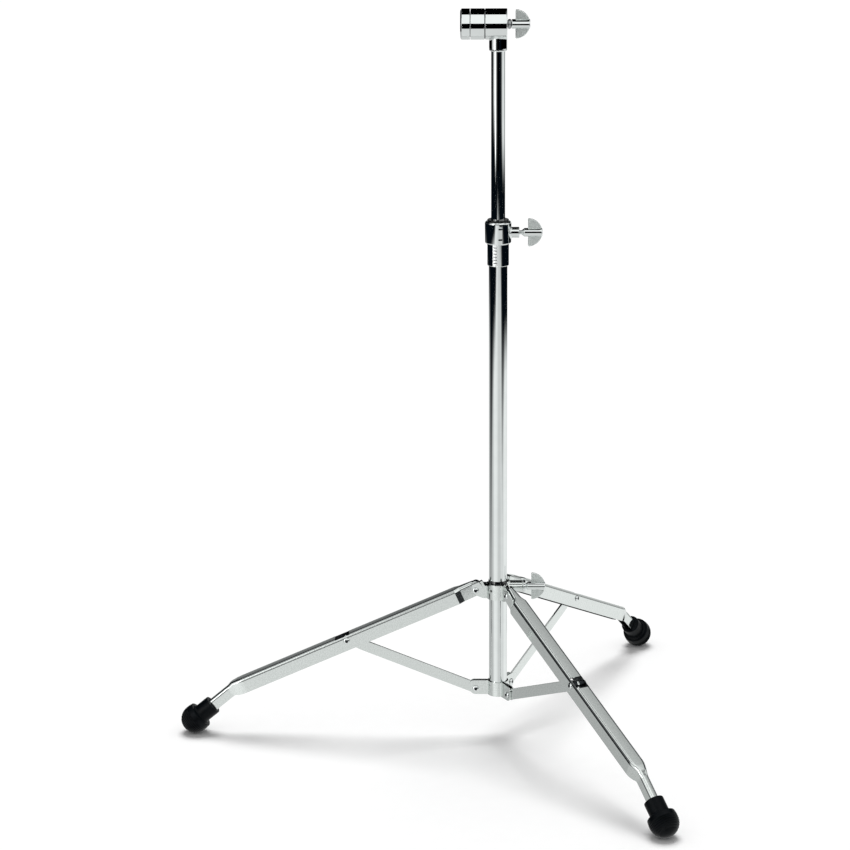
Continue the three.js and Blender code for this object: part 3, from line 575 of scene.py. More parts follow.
def bar(name, outline, start, end, place):
    """An outline of (across, up) drawn out along own X."""
    bm = bmesh.new()
    ends = [[bm.verts.new((x, across, up)) for across, up in outline] for x in (start, end)]
    skin(bm, ends)
    bm.faces.new(ends[0])
    bm.faces.new(ends[1])
    return mesh_object(name, bm, place)


def block(name, low, high, place, edge=0):
    """A box between two corners, as a cutter."""
    bm = bmesh.new()
    bmesh.ops.create_cube(bm, size=1)
    size = [b - a for a, b in zip(low, high)]
    centre = [(a + b) * HALF for a, b in zip(low, high)]
    bmesh.ops.scale(bm, vec=size, verts=bm.verts)
    bmesh.ops.translate(bm, vec=centre, verts=bm.verts)
    if edge:
        bmesh.ops.bevel(bm, geom=list(bm.edges), offset=edge, segments=3, profile=0.5, affect="EDGES")
    return mesh_object(name, bm, place)


def combine(piece, tools, operation):
    """Joins tools to piece, or cuts them from it, and removes them."""
    for tool in tools:
        step = piece.modifiers.new("step", "BOOLEAN")
        step.operation = operation
        step.solver = "EXACT"
        step.object = tool
        graph = bpy.context.evaluated_depsgraph_get()
        made = bpy.data.meshes.new_from_object(piece.evaluated_get(graph))
        piece.modifiers.clear()
        piece.data = made
        bpy.data.objects.remove(tool)
    return piece


def cut(piece, *tools):
    return combine(piece, tools, "DIFFERENCE")


def join(piece, *tools):
    return combine(piece, tools, "UNION")


def dress(piece, material, slot, body, *nodes, finishes=()):
    """Gives a finished piece its shading, its body, the nodes it stands for and its finish.

    Each of the finishes is a second material with a test that picks its faces.
    """
    mesh = piece.data
    mesh.materials.clear()
    mesh.materials.append(material)
    for other, _ in finishes:
        mesh.materials.append(other)
    for face in mesh.polygons:
        face.material_index = 0
        for index, (_, is_picked) in enumerate(finishes, start=1):
            if is_picked(face):
                face.material_index = index
    mesh.shade_smooth()
    mesh.set_sharp_from_angle(angle=SHARP_ANGLE)
    weighted = piece.modifiers.new("weighted", "WEIGHTED_NORMAL")
    weighted.keep_sharp = True
    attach(piece, body)
    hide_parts(*nodes)
    return piece


def rod_profile(radius, low, high, edge=0):
    return [(0, low), (radius, low, edge), (radius, high, edge), (0, high)]


def ring_profile(inner, outer, low, high, edge=0):
    return [(inner, low, edge), (outer, low, edge), (outer, high, edge), (inner, high, edge)]


def drill(radius, low, high, place, segments=SMALL_SEGMENTS):
    return turned("drill", rod_profile(radius, low, high), place, segments)


def turned_node(node, profile, place, material, slot, body, segments=TURN_SEGMENTS):
    """A turned piece that stands for a node."""
    return dress(turned(f"{node}_fine", profile, place, segments), material, slot, body, node)


# Mast
def mast_tubes():
    low, high = node_span("base_tube")
    profile = ring_profile(BASE_RADIUS - BASE_TUBE_WALL, BASE_RADIUS, low, high, TUBE_EDGE)
    turned_node("base_tube", profile, MAST, POLISHED, "chrome", "base")

    low, high = node_span("upper_tube")
    profile = ring_profile(UPPER_RADIUS - UPPER_TUBE_WALL, UPPER_RADIUS, low, high, TUBE_EDGE)
    turned_node("upper_tube", profile, MAST, POLISHED, "chrome", "mast")

    low, high = node_span("tube_guide_bush")
    outer = BASE_RADIUS - BASE_TUBE_WALL - FIT_GAP
    profile = ring_profile(UPPER_RADIUS + FIT_GAP, outer, low, high, TUBE_EDGE)
    turned_node("tube_guide_bush", profile, MAST, NYLON, "nylon", "slider")

    low, high = node_span("tube_end_plug")
    stem = BASE_RADIUS - BASE_TUBE_WALL - FIT_GAP
    hollow = stem - PLUG_WALL
    profile = [
        (0, low, 0),
        (BASE_RADIUS, low, TUBE_EDGE),
        (BASE_RADIUS, low + PLUG_FLANGE, TUBE_EDGE),
        (stem, low + PLUG_FLANGE),
        (stem, high, TUBE_EDGE),
        (hollow, high, TUBE_EDGE),
        (hollow, low + PLUG_FLANGE),
        (0, low + PLUG_FLANGE),
    ]
    turned_node("tube_end_plug", profile, MAST, NYLON, "nylon", "base")


def saddle_boss(name, radius, ring_radius, end, height):
    """A boss along X with a fillet where it meets a ring of ring_radius round the mast."""
    bm = bmesh.new()
    rings = []
    start = ring_radius - radius * HALF
    fillet_steps = 4
    angles = [2 * math.pi * i / SMALL_SEGMENTS for i in range(SMALL_SEGMENTS)]

    def ring(place_of):
        rings.append([bm.verts.new(place_of(a)) for a in angles])

    def foot_at(spread, sink):
        def place_of(angle):
            across = spread * math.cos(angle)
            up = spread * math.sin(angle)
            return (math.sqrt(ring_radius**2 - across**2) + sink, across, up)

        return place_of

    ring(lambda a: (start, (radius + BOSS_FILLET) * math.cos(a), (radius + BOSS_FILLET) * math.sin(a)))
    for step in range(fillet_steps + 1):
        turn = math.pi * HALF * step / fillet_steps
        spread = radius + BOSS_FILLET * (1 - math.sin(turn))
        ring(foot_at(spread, BOSS_FILLET * (1 - math.cos(turn)) - SINK))
    for radius_here, x in rounded([(radius, start), (radius, end, BOSS_EDGE), (0, end)], closed=False)[1:-1]:
        ring(lambda a: (x, radius_here * math.cos(a), radius_here * math.sin(a)))
    first = rings[0]
    last = rings[-1]
    skin(bm, rings)
    bm.faces.new(first)
    bm.faces.new(last)
    return mesh_object(name, bm, on_mast(height))


def clamp_housing():
    low, top = node_span("clamp_housing")
    step = top - HOUSING_COLLAR_HEIGHT
    collar_radius = -node_span("clamp_housing", 1)[0]
    bore = BASE_RADIUS + HOUSING_BORE_GAP
    profile = [
        (bore, low),
        (HOUSING_SLEEVE_RADIUS, low, HOUSING_NECK_FILLET),
        (HOUSING_SLEEVE_RADIUS, step, HOUSING_NECK_FILLET),
        (collar_radius - HOUSING_DRAFT, step, HOUSING_LOWER_EDGE),
        (collar_radius, top, HOUSING_EDGE),
        (bore, top, TUBE_EDGE),
    ]
    piece = turned("clamp_housing_fine", profile, MAST)
    end = reach_span("clamp_housing")[1]
    piece = join(piece, saddle_boss("boss", CLAMP_BOSS_RADIUS, collar_radius, end, CLAMP_AXIS))
    cutters = [
        turned("bore", rod_profile(bore, low - OVERRUN, top + OVERRUN), MAST),
        drill(SCREW_HOLE, 0, end + OVERRUN, along_x(CLAMP_AXIS)),
    ]
    for share in DIMPLE_HEIGHTS_SHARE:
        height = step + HOUSING_COLLAR_HEIGHT * share
        facing = Matrix.Rotation(DIMPLE_TURN, 4, "Z") @ Matrix.Rotation(math.pi * HALF, 4, "X")
        place = on_mast(height) @ facing
        low_corner = (-DIMPLE_WIDTH * HALF, -DIMPLE_HEIGHT * HALF, collar_radius - DIMPLE_DEPTH)
        high_corner = (DIMPLE_WIDTH * HALF, DIMPLE_HEIGHT * HALF, collar_radius + OVERRUN)
        cutters.append(block("dimple", low_corner, high_corner, place, edge=DIMPLE_HEIGHT * 0.4))
    for i in range(MARK_COUNT):
        height = step - (i + 1) * MARK_PITCH
        place = on_mast(height) @ Matrix.Rotation(MARK_TURN, 4, "Z")
        face = -HOUSING_SLEEVE_RADIUS
        low_corner = (-MARK_WIDTH * HALF, face - OVERRUN, -MARK_HEIGHT * HALF)
        high_corner = (MARK_WIDTH * HALF, face + MARK_DEPTH, MARK_HEIGHT * HALF)
        cutters.append(block("mark", low_corner, high_corner, place))

    def on_panel(face):
        out = Vector((face.center.x - MAST_X, face.center.y))
        turn = math.atan2(out.x, -out.y)
        on_sleeve = abs(out.length - HOUSING_SLEEVE_RADIUS) < SHEET_EDGE and face.center.z < step
        return on_sleeve and abs(turn - MARK_TURN) < PANEL_HALF_TURN

    def shaded_cut(face):
        """Inside a dimple or a mark, below the outer skin, where the shade is painted."""
        out = Vector((face.center.x - MAST_X, face.center.y))
        skin_radius = collar_radius if face.center.z > step else HOUSING_SLEEVE_RADIUS
        depth = skin_radius - out.length
        in_front = out.y < 0 and abs(out.x) < DIMPLE_WIDTH * 1.5
        clear_of_ends = step + HOUSING_LOWER_EDGE < face.center.z < top - HOUSING_EDGE
        on_sleeve = low + HOUSING_NECK_FILLET < face.center.z < step - HOUSING_NECK_FILLET
        above_skin = HOUSING_DRAFT * 1.2 if face.center.z > step else 0.02 * MM
        return in_front and above_skin < depth < DIMPLE_DEPTH * 1.1 and (clear_of_ends or on_sleeve)

    # The dimples and marks get the painted shade.
    finishes = ((PANEL, on_panel), (PAINTED_SHADE, shaded_cut))
    dress(cut(piece, *cutters), POLISHED, "chrome", "base", "clamp_housing", finishes=finishes)


def clamp_bush():
    low, high = node_span("clamp_bush")
    inner = UPPER_RADIUS + BUSH_GAP
    profile = [
        (inner, low),
        (BASE_RADIUS, low),
        (BASE_RADIUS, high - BUSH_RIM),
        (HOUSING_SLEEVE_RADIUS, high - BUSH_RIM),
        (HOUSING_SLEEVE_RADIUS, high, TUBE_EDGE),
        (inner, high, TUBE_EDGE),
    ]
    piece = turned("clamp_bush_fine", profile, MAST)
    hole = drill(SCREW_HOLE, 0, BASE_RADIUS + OVERRUN, along_x(CLAMP_AXIS))
    dress(cut(piece, hole), NYLON, "nylon", "base", "clamp_bush")


# Wing screws and nut
def threaded(name, radius, low, high, place):
    """A rod with a helical thread and chamfered ends."""
    bm = bmesh.new()
    sides = 24
    steps = max(2, round((high - low) / THREAD_PITCH * THREAD_STEPS))
    rings = [[bm.verts.new((0, 0, low))]]
    for step in range(steps + 1):
        height = low + (high - low) * step / steps
        edge = min(height - low, high - height, THREAD_DEPTH)
        ring = []
        for i in range(sides):
            angle = 2 * math.pi * i / sides
            wave = HALF - HALF * math.cos(2 * math.pi * height / THREAD_PITCH - angle)
            here = min(radius - THREAD_DEPTH * wave, radius - THREAD_DEPTH + edge)
            ring.append(bm.verts.new((here * math.cos(angle), here * math.sin(angle), height)))
        rings.append(ring)
    rings.append([bm.verts.new((0, 0, high))])
    skin(bm, rings)
    return mesh_object(name, bm, place)


def wing_blade(flat_edge, height):
    """Half-round wings standing upright, flat edge towards the mast."""
    count = 48
    arc = []
    for i in range(count + 1):
        angle = math.pi * (i / count - HALF)
        arc.append((flat_edge + WING_RADIUS * math.cos(angle), height + WING_RADIUS * math.sin(angle)))
    arc[0] = (*arc[0], WING_CORNER)
    arc[-1] = (*arc[-1], WING_CORNER)
    lead = WING_CORNER
    outline = [(flat_edge, height - WING_RADIUS, lead)]
    outline += [p[:2] for p in arc if WING_CORNER < p[0] - flat_edge]
    outline.append((flat_edge, height + WING_RADIUS, lead))
    half = WING_THICKNESS * HALF
    return plate("blade", rounded(outline), -half, half, WING_EDGE, MAST)


def wing_flat(height):
    """Tells the flat sides of the wings at a height."""

    def is_flat(face):
        return abs(face.normal.y) > 0.95 and abs(face.center.z - height) > HUB_RADIUS

    return is_flat


def wing_screw(node, body, hub_lead, height, flange=None):
    """A cast wing head on a threaded screw, with a flange from its face to its back if there is one."""
    tip, hub_end = reach_span(node)
    flat_edge = hub_end - WING_RADIUS
    hub_start = flat_edge - hub_lead
    cone_start = hub_start - HUB_CONE
    neck_points = [(0, cone_start), (SCREW_RADIUS, cone_start, 0)]
    if flange:
        face, back = flange
        cone_start = face
        neck_points = [
            (0, face),
            (FLANGE_RADIUS, face, FLANGE_EDGE),
            (FLANGE_RADIUS, back, FLANGE_EDGE),
            (SCREW_RADIUS, back, SMALL_EDGE),
        ]
    profile = [
        *neck_points,
        (HUB_RADIUS, hub_start, 1.2 * MM),
        (HUB_RADIUS, hub_end, HUB_NOSE),
        (0, hub_end),
    ]
    hub = turned(f"{node}_fine", profile, along_x(height), SMALL_SEGMENTS * 2)
    piece = join(hub, wing_blade(flat_edge, height))
    shank = threaded("shank", SCREW_RADIUS, tip, cone_start + 1 * MM, along_x(height))
    piece = join(piece, shank)
    dress(piece, POLISHED, "chrome", body, node, finishes=((CAST, wing_flat(height)),))


def head_wing_nut():
    start, end = reach_span("head_wing_nut")
    flat_edge = end - WING_RADIUS
    profile = [
        (0, start),
        (NUT_HUB_RADIUS, start, 1.0 * MM),
        (NUT_HUB_RADIUS, end, HUB_NOSE),
        (0, end),
    ]
    hub = turned("head_wing_nut_fine", profile, along_x(HEAD_AXIS), SMALL_SEGMENTS * 2)
    piece = join(hub, wing_blade(flat_edge, HEAD_AXIS))
    thread = drill(SCREW_HOLE, start - OVERRUN, end - NUT_END_WALL, along_x(HEAD_AXIS))
    piece = cut(piece, thread)
    finishes = ((CAST, wing_flat(HEAD_AXIS)),)
    dress(piece, POLISHED, "chrome", "head_nut", "head_wing_nut", finishes=finishes)


# Head
def neck(low):
    """The socket's barrel, flared where it meets the lying cylinder."""
    bm = bmesh.new()
    angles = [2 * math.pi * i / TURN_SEGMENTS for i in range(TURN_SEGMENTS)]
    rings = []
    edge_profile = rounded([(0, 0), (NECK_RADIUS, 0, NECK_EDGE), (NECK_RADIUS, NECK_EDGE * 2)], closed=False)
    for radius, up in edge_profile[1:]:
        rings.append([bm.verts.new((radius * math.cos(a), radius * math.sin(a), low + up)) for a in angles])
    steps = 5
    for step in range(steps + 1):
        turn = math.pi * HALF * step / steps
        ring = []
        for a in angles:
            flare = NECK_FILLET * min(1, max(0, (0.8 - math.cos(a)) * 2))
            radius = NECK_RADIUS + flare * (1 - math.cos(turn))
            across = radius * math.sin(a)
            meet = HEAD_AXIS - math.sqrt(HEAD_RADIUS**2 - across**2)
            height = meet - flare * (1 - math.sin(turn)) + SINK
            ring.append(bm.verts.new((radius * math.cos(a), across, height)))
        rings.append(ring)
    rings.append([bm.verts.new((v.co.x, v.co.y, HEAD_AXIS)) for v in rings[-1]])
    skin(bm, rings)
    bm.faces.new(rings[0])
    bm.faces.new(rings[-1])
    return mesh_object("neck", bm, MAST)


def head_body():
    inward, outward = reach_span("head_body")
    profile = [
        (0, inward),
        (LIP_START, inward),
        (HEAD_RADIUS, inward - GROOVE_LIP, GROOVE_EDGE),
        (HEAD_RADIUS, outward, HEAD_END_EDGE),
        (0, outward),
    ]
    barrel = turned("head_body_fine", profile, along_x(HEAD_AXIS))
    low = node_span("head_body")[0]
    socket = neck(low)
    past = block(
        "past",
        (outward - SINK, -HEAD_RADIUS, low - OVERRUN),
        (outward + HEAD_RADIUS, HEAD_RADIUS, HEAD_AXIS + HEAD_RADIUS),
        MAST,
    )
    piece = join(barrel, cut(socket, past))
    bore = turned("bore", rod_profile(UPPER_RADIUS + FIT_GAP, low - OVERRUN, low + SOCKET_DEPTH), MAST)
    bolt_hole = drill(SCREW_HOLE, inward - OVERRUN, outward + OVERRUN, along_x(HEAD_AXIS))
    dress(cut(piece, bore, bolt_hole), POLISHED, "chrome", "mast", "head_body")


def jaws():
    place = along_x(HEAD_AXIS)

    inner_end, inner_face = reach_span("inner_jaw")
    pocket = JAW_PAD_RADIUS + FIT_GAP
    pad_low, pad_high = reach_span("inner_jaw_pad")
    recess = pad_high + FIT_GAP
    profile = [
        (SCREW_HOLE, recess),
        (pocket, recess),
        (pocket, inner_end, 0.4 * MM),
        (LIP_START, inner_end),
        (HEAD_RADIUS, inner_end - GROOVE_LIP, GROOVE_EDGE),
        (HEAD_RADIUS, inner_face + GROOVE_LIP, GROOVE_EDGE),
        (LIP_START, inner_face),
        (SCREW_HOLE, inner_face),
    ]
    turned_node("inner_jaw", profile, place, POLISHED, "chrome", "tilt")
    profile = ring_profile(JAW_PAD_HOLE, JAW_PAD_RADIUS, pad_low, pad_high, TUBE_EDGE)
    turned_node("inner_jaw_pad", profile, place, RUBBER, "rubber", "tilt")

    outer_end, outer_face = reach_span("outer_jaw")
    pad_low, pad_high = reach_span("outer_jaw_pad")
    recess = pad_low - FIT_GAP
    bolt_end = outer_face - BOLT_POCKET - FIT_GAP
    profile = [
        (0, outer_end),
        (HEAD_RADIUS - OUTER_JAW_DROP, outer_end, OUTER_JAW_EDGE),
        (HEAD_RADIUS, outer_end + OUTER_JAW_RUN, OUTER_JAW_EDGE),
        (HEAD_RADIUS, outer_face + GROOVE_LIP, GROOVE_EDGE),
        (LIP_START, outer_face),
        (pocket, outer_face, 0.4 * MM),
        (pocket, recess),
        (SCREW_HOLE, recess),
        (SCREW_HOLE, bolt_end),
        (0, bolt_end),
    ]
    turned_node("outer_jaw", profile, place, POLISHED, "chrome", "jaw")
    profile = ring_profile(JAW_PAD_HOLE, JAW_PAD_RADIUS, pad_low, pad_high, TUBE_EDGE)
    turned_node("outer_jaw_pad", profile, place, RUBBER, "rubber", "jaw")

    low, high = reach_span("friction_washer")
    outer = node_radius("friction_washer")
    profile = ring_profile(SCREW_HOLE, outer, low, high, SMALL_EDGE)
    turned_node("friction_washer", profile, place, NYLON, "nylon", "tilt")

    low, high = reach_span("draw_bolt")
    dress(threaded("draw_bolt_fine", SCREW_RADIUS, low, high, place), ZINC, "zinc", "jaw", "draw_bolt")

    low, high = reach_span("head_nut_washer")
    outer = node_radius("head_nut_washer")
    width = high - low
    profile = [
        (SCREW_HOLE, low),
        (outer, low, width * 0.49),
        (outer, high, width * 0.49),
        (SCREW_HOLE, high),
    ]
    turned_node("head_nut_washer", profile, place, ZINC, "chrome", "mast")


def screw_pads():
    for node, body, height in (
        ("clamp_screw_pad", "clamp_pad", CLAMP_AXIS),
        ("collar_screw_pad", "collar_pad", COLLAR_AXIS),
    ):
        low, high = reach_span(node)
        profile = rod_profile(PAD_RADIUS, low, high, SMALL_EDGE)
        turned_node(node, profile, along_x(height), ZINC, "zinc", body, SMALL_SEGMENTS)


# Collars
def tab_ear(ring_reach, low, high, tip, low_corner, top_corner):
    """Stations from the ring's wall out to a tab's end, as (reach, bottom, top)."""

    def dip(reach, corner):
        past = max(0, reach - (tip - corner))
        return corner - math.sqrt(max(0, corner**2 - past**2))

    steps = 14
    longest = max(low_corner, top_corner)
    turns = [math.pi * HALF * step / steps for step in range(steps + 1)]
    reaches = [ring_reach] + [tip - longest * (1 - math.sin(turn)) for turn in turns]
    return [(reach, low + dip(reach, low_corner), high - dip(reach, top_corner)) for reach in reaches]


def narrowing_ear(ring_reach, low, high, root, pivot, radius):
    """Stations from the ring's wall out to a round end about the pivot, as (reach, bottom, top)."""

    def edge(reach, start, sign):
        """Height of one edge: level to the root, then straight until it touches the round end."""
        away = pivot - Vector((root, start))
        slope = math.atan2(away.y, away.x) + sign * math.asin(radius / away.length)
        straight = start + math.tan(slope) * max(0, reach - root)
        touch = pivot.x - sign * radius * math.sin(slope)
        if reach < touch:
            return straight
        return pivot.y + sign * math.sqrt(max(0, radius**2 - (reach - pivot.x) ** 2))

    steps = 24
    tip = pivot.x + radius
    reaches = [ring_reach + (root - ring_reach) * step / 8 for step in range(8)]
    reaches += [root + (tip - root) * math.sin(math.pi * HALF * step / steps) for step in range(steps)]
    reaches.append(tip - 0.02 * MM)
    return [(reach, edge(reach, low, -1), edge(reach, high, 1)) for reach in reaches]


def collar_sheet(ring_radius, ear_stations, drops, first, second):
    """One bent sheet from an ear of the first leg round the mast to an ear of the second.

    Each drop tells how far the top edge has come down, by the distance run in from the ear.
    """
    lateral = EAR_GAP * HALF + COLLAR_WALL * HALF
    centre_radius = ring_radius + COLLAR_WALL * HALF
    fillet_centre = math.sqrt((centre_radius + EAR_FILLET) ** 2 - (lateral + EAR_FILLET) ** 2)
    fold_turn = math.atan2(lateral + EAR_FILLET, fillet_centre)
    low, high = ear_stations[0][1:]
    side_path = [(r, lateral, bottom, top) for r, bottom, top in reversed(ear_stations) if r > fillet_centre]
    fold_steps = 6
    for step in range(fold_steps + 1):
        turn = (math.pi * HALF - fold_turn) * step / fold_steps
        x = fillet_centre - EAR_FILLET * math.sin(turn)
        side_path.append((x, lateral + EAR_FILLET * (1 - math.cos(turn)), low, high))
    opening = (second - first) % (2 * math.pi)
    arc_steps = 36
    arc = []
    for step in range(1, arc_steps):
        angle = fold_turn + (opening - 2 * fold_turn) * step / arc_steps
        arc.append((centre_radius * math.cos(angle), centre_radius * math.sin(angle), low, high))
    other = []
    cosine, sine = math.cos(opening), math.sin(opening)
    for x, y, bottom, top in reversed(side_path):
        other.append((x * cosine + y * sine, x * sine - y * cosine, bottom, top))
    full = side_path + arc + other

    def run_from(path):
        """Distances along the path, counted from the ear's root."""
        run = 0
        runs = []
        for here, before in zip(path, [path[0], *path]):
            if math.hypot(here[0], here[1]) < SCOOP_FROM:
                run += math.hypot(here[0] - before[0], here[1] - before[1])
            runs.append(run)
        return runs

    runs = zip(run_from(full), reversed(run_from(list(reversed(full)))))
    sections = []
    for i, ((x, y, bottom, top), (from_first, from_second)) in enumerate(zip(full, runs)):
        ahead = full[min(i + 1, len(full) - 1)]
        behind = full[max(i - 1, 0)]
        along = Vector((ahead[0] - behind[0], ahead[1] - behind[1])).normalized()
        side = Vector((-along.y, along.x))
        top -= drops[0](from_first) if i < len(full) * HALF else drops[1](from_second)
        half = COLLAR_WALL * HALF
        outline = rounded(
            [
                (-half, bottom, SHEET_EDGE),
                (half, bottom, SHEET_EDGE),
                (half, top, SHEET_EDGE),
                (-half, top, SHEET_EDGE),
            ],
            steps=2,
        )
        sections.append([(x + side.x * u, y + side.y * u, z) for u, z in outline])
    bm = bmesh.new()
    rings = [[bm.verts.new(p) for p in section] for section in sections]
    skin(bm, rings)
    bm.faces.new(rings[0])
    bm.faces.new(rings[-1])
    return mesh_object("sheet", bm, MAST @ Matrix.Rotation(first, 4, "Z"))


def joined_objects(name, pieces):
    """Several shells as one object."""
    bm = bmesh.new()
    for piece in pieces:
        bm.from_mesh(piece.data)
        bpy.data.objects.remove(piece)
    return linked(name, bm)


def sheets_round(ring_radius, ear_stations, drops):
    turns = sorted(leg_azimuth(leg) % (2 * math.pi) for leg in LEG_FIRST_JOINT)
    seconds = turns[1:] + turns[:1]
    return [collar_sheet(ring_radius, ear_stations, drops, *pair) for pair in zip(turns, seconds)]


def rivet_drills(pivot, reach):
    return [drill(RIVET_HOLE, -reach, reach, across_leg(leg, pivot)) for leg in LEG_FIRST_JOINT]


def eased(share):
    share = min(1, max(0, share))
    return share * share * (3 - 2 * share)


def no_drop(run):
    return 0


def step_drop(run):
    """Down from the ear's top edge to the ring's."""
    return LEG_RING_STEP * eased(run / STEP_RUN)


def scooped_drop(run):
    """Deeper than the ring's edge beside the ear, then back up to it."""
    rise = eased((run - SCOOP_BACK) / SCOOP_BACK)
    return LEG_FOLD_SCOOP * eased(run / SCOOP_RUN) - (LEG_FOLD_SCOOP - LEG_RING_STEP) * rise


def shaded_between_ears(face):
    """Tells the faces of a collar that look into the gap between two ears, where the shade is painted."""
    for leg in LEG_FIRST_JOINT:
        turn = in_leg(leg).inverted()
        spot = turn @ face.center
        facing = turn.to_3x3() @ face.normal
        in_gap = spot.x > 0 and abs(spot.y) < EAR_GAP * HALF + SHEET_EDGE * 0.4
        if in_gap and facing.y * spot.y < 0 and abs(facing.y) > 0.7:
            return True
    return False


def leg_collar():
    low, high = node_span("leg_collar")
    inner = BASE_RADIUS + BUSH_GAP + BUSH_WALL + BUSH_GAP
    ear = narrowing_ear(inner + COLLAR_WALL * HALF, low, high, LEG_EAR_ROOT, COLLAR_PIVOT, LEG_EAR_RADIUS)
    sheets = sheets_round(inner, ear, (scooped_drop, step_drop))
    reach = EAR_GAP + COLLAR_WALL * 2
    sheets = [cut(s, *rivet_drills(COLLAR_PIVOT, reach)) for s in sheets]
    end = reach_span("leg_collar")[1]
    boss = saddle_boss("boss", COLLAR_BOSS_RADIUS, inner + COLLAR_WALL, end, COLLAR_AXIS)
    bore = turned("bore", rod_profile(inner + 0.2 * MM, low - OVERRUN, high + OVERRUN), MAST)
    hole = drill(SCREW_HOLE, 0, end + OVERRUN, along_x(COLLAR_AXIS))
    boss = cut(boss, bore, hole)
    facing = Matrix.Rotation(PEG_AZIMUTH, 4, "Z") @ Matrix.Rotation(math.pi * HALF, 4, "Y")
    peg_place = on_mast((low + high) * HALF) @ facing
    for i, sheet in enumerate(sheets):
        sheets[i] = cut(sheet, drill(PEG_HOLE, 0, inner + COLLAR_WALL + OVERRUN, peg_place))
    piece = joined_objects("leg_collar_fine", [*sheets, boss])
    # The faces in the gaps between the ears get the painted shade.
    dress(piece, PRESSED, "chrome", "collar", "leg_collar", finishes=((PAINTED_SHADE, shaded_between_ears),))


def lower_collar():
    low, high = node_span("lower_collar")
    inner = BASE_RADIUS + FIT_GAP
    tip = HUB_PIVOT.x + HUB_EAR_RADIUS
    ear = tab_ear(inner + COLLAR_WALL * HALF, low, high, tip, HUB_EAR_RADIUS, HUB_EAR_TOP_CORNER)
    sheets = sheets_round(inner, ear, (no_drop, no_drop))
    reach = EAR_GAP + COLLAR_WALL * 2
    sheets = [cut(s, *rivet_drills(HUB_PIVOT, reach)) for s in sheets]
    dress(joined_objects("lower_collar_fine", sheets), PRESSED, "chrome", "base", "lower_collar")


def collar_bush():
    low, high = node_span("collar_bush")
    inner = BASE_RADIUS + BUSH_GAP
    outer = node_radius("collar_bush")
    profile = [
        (inner, low),
        (outer, low),
        (outer, high - LEG_RING_STEP),
        (outer - BUSH_TAPER, high, 0.1 * MM),
        (inner, high),
    ]
    piece = turned("collar_bush_fine", profile, MAST)
    hole = drill(SCREW_HOLE, 0, outer + OVERRUN, along_x(COLLAR_AXIS))
    dress(cut(piece, hole), GLOSS_NYLON, "nylon", "collar", "collar_bush")


# Legs
EAR_OUTER = EAR_GAP * HALF + COLLAR_WALL
LEG_END_INNER = EAR_OUTER + FIT_GAP
LEG_END_OUTER = LEG_END_INNER + SHEET
LEG_FOOT_OUTER = LEG_END_WIDTH * HALF


def leg_frame(along, up):
    return LINE_START + fall(LEG_SLOPE) * along + lift(LEG_SLOPE) * up


def leg_corners(*corners):
    return [leg_frame(along, up) for along, up in corners]


def channel_section(outer, top):
    corner = LEG_CORNER
    return rounded(
        [
            (outer, -top, SHEET_EDGE),
            (outer, top, corner),
            (-outer, top, corner),
            (-outer, -top, SHEET_EDGE),
            (SHEET - outer, -top, SHEET_EDGE),
            (SHEET - outer, top - SHEET, corner - SHEET),
            (outer - SHEET, top - SHEET, corner - SHEET),
            (outer - SHEET, -top, SHEET_EDGE),
        ],
        steps=6,
    )


def leg_stations():
    """Distances along the leg with the half width and half depth there."""
    wide = LEG_WIDTH * HALF
    deep = LEG_DEPTH * HALF
    end_deep = LEG_END_DEPTH * HALF
    pinch_end = CREASE_AT + FOOT_PINCH_PAST
    pinch_start = pinch_end - FOOT_PINCH_LENGTH
    line = rounded(
        [
            (-deep, LEG_END_OUTER),
            (FLARE_START, LEG_END_OUTER, FLARE_BLEND),
            (UPPER_PINCH_START, FLARE_WIDTH, UPPER_PINCH_BLEND),
            (UPPER_PINCH_END, wide, UPPER_PINCH_BLEND),
            (pinch_start, wide, FOOT_PINCH_BLEND),
            (pinch_end, LEG_FOOT_OUTER, FOOT_PINCH_BLEND),
            (CREASE_AT + CREASE_TO_END, LEG_FOOT_OUTER),
        ],
        closed=False,
        steps=6,
    )
    stations = []
    for distance, half_width in line:
        share = eased((distance - CREASE_AT + DEPTH_PINCH_BEFORE) / DEPTH_PINCH_LENGTH)
        stations.append((distance, half_width, deep + (end_deep - deep) * share))
    return stations


def leg_line(distance):
    """Place on the leg's centre line and the direction square to it."""
    bend = FOOT_SLOPE - LEG_SLOPE
    share = min(1, max(0, (distance - CREASE_AT + CREASE_BLEND) / (2 * CREASE_BLEND)))
    if distance <= CREASE_AT:
        at = leg_frame(distance, 0)
    else:
        at = CREASE + fall(FOOT_SLOPE) * (distance - CREASE_AT)
    return at, lift(LEG_SLOPE + bend * share)


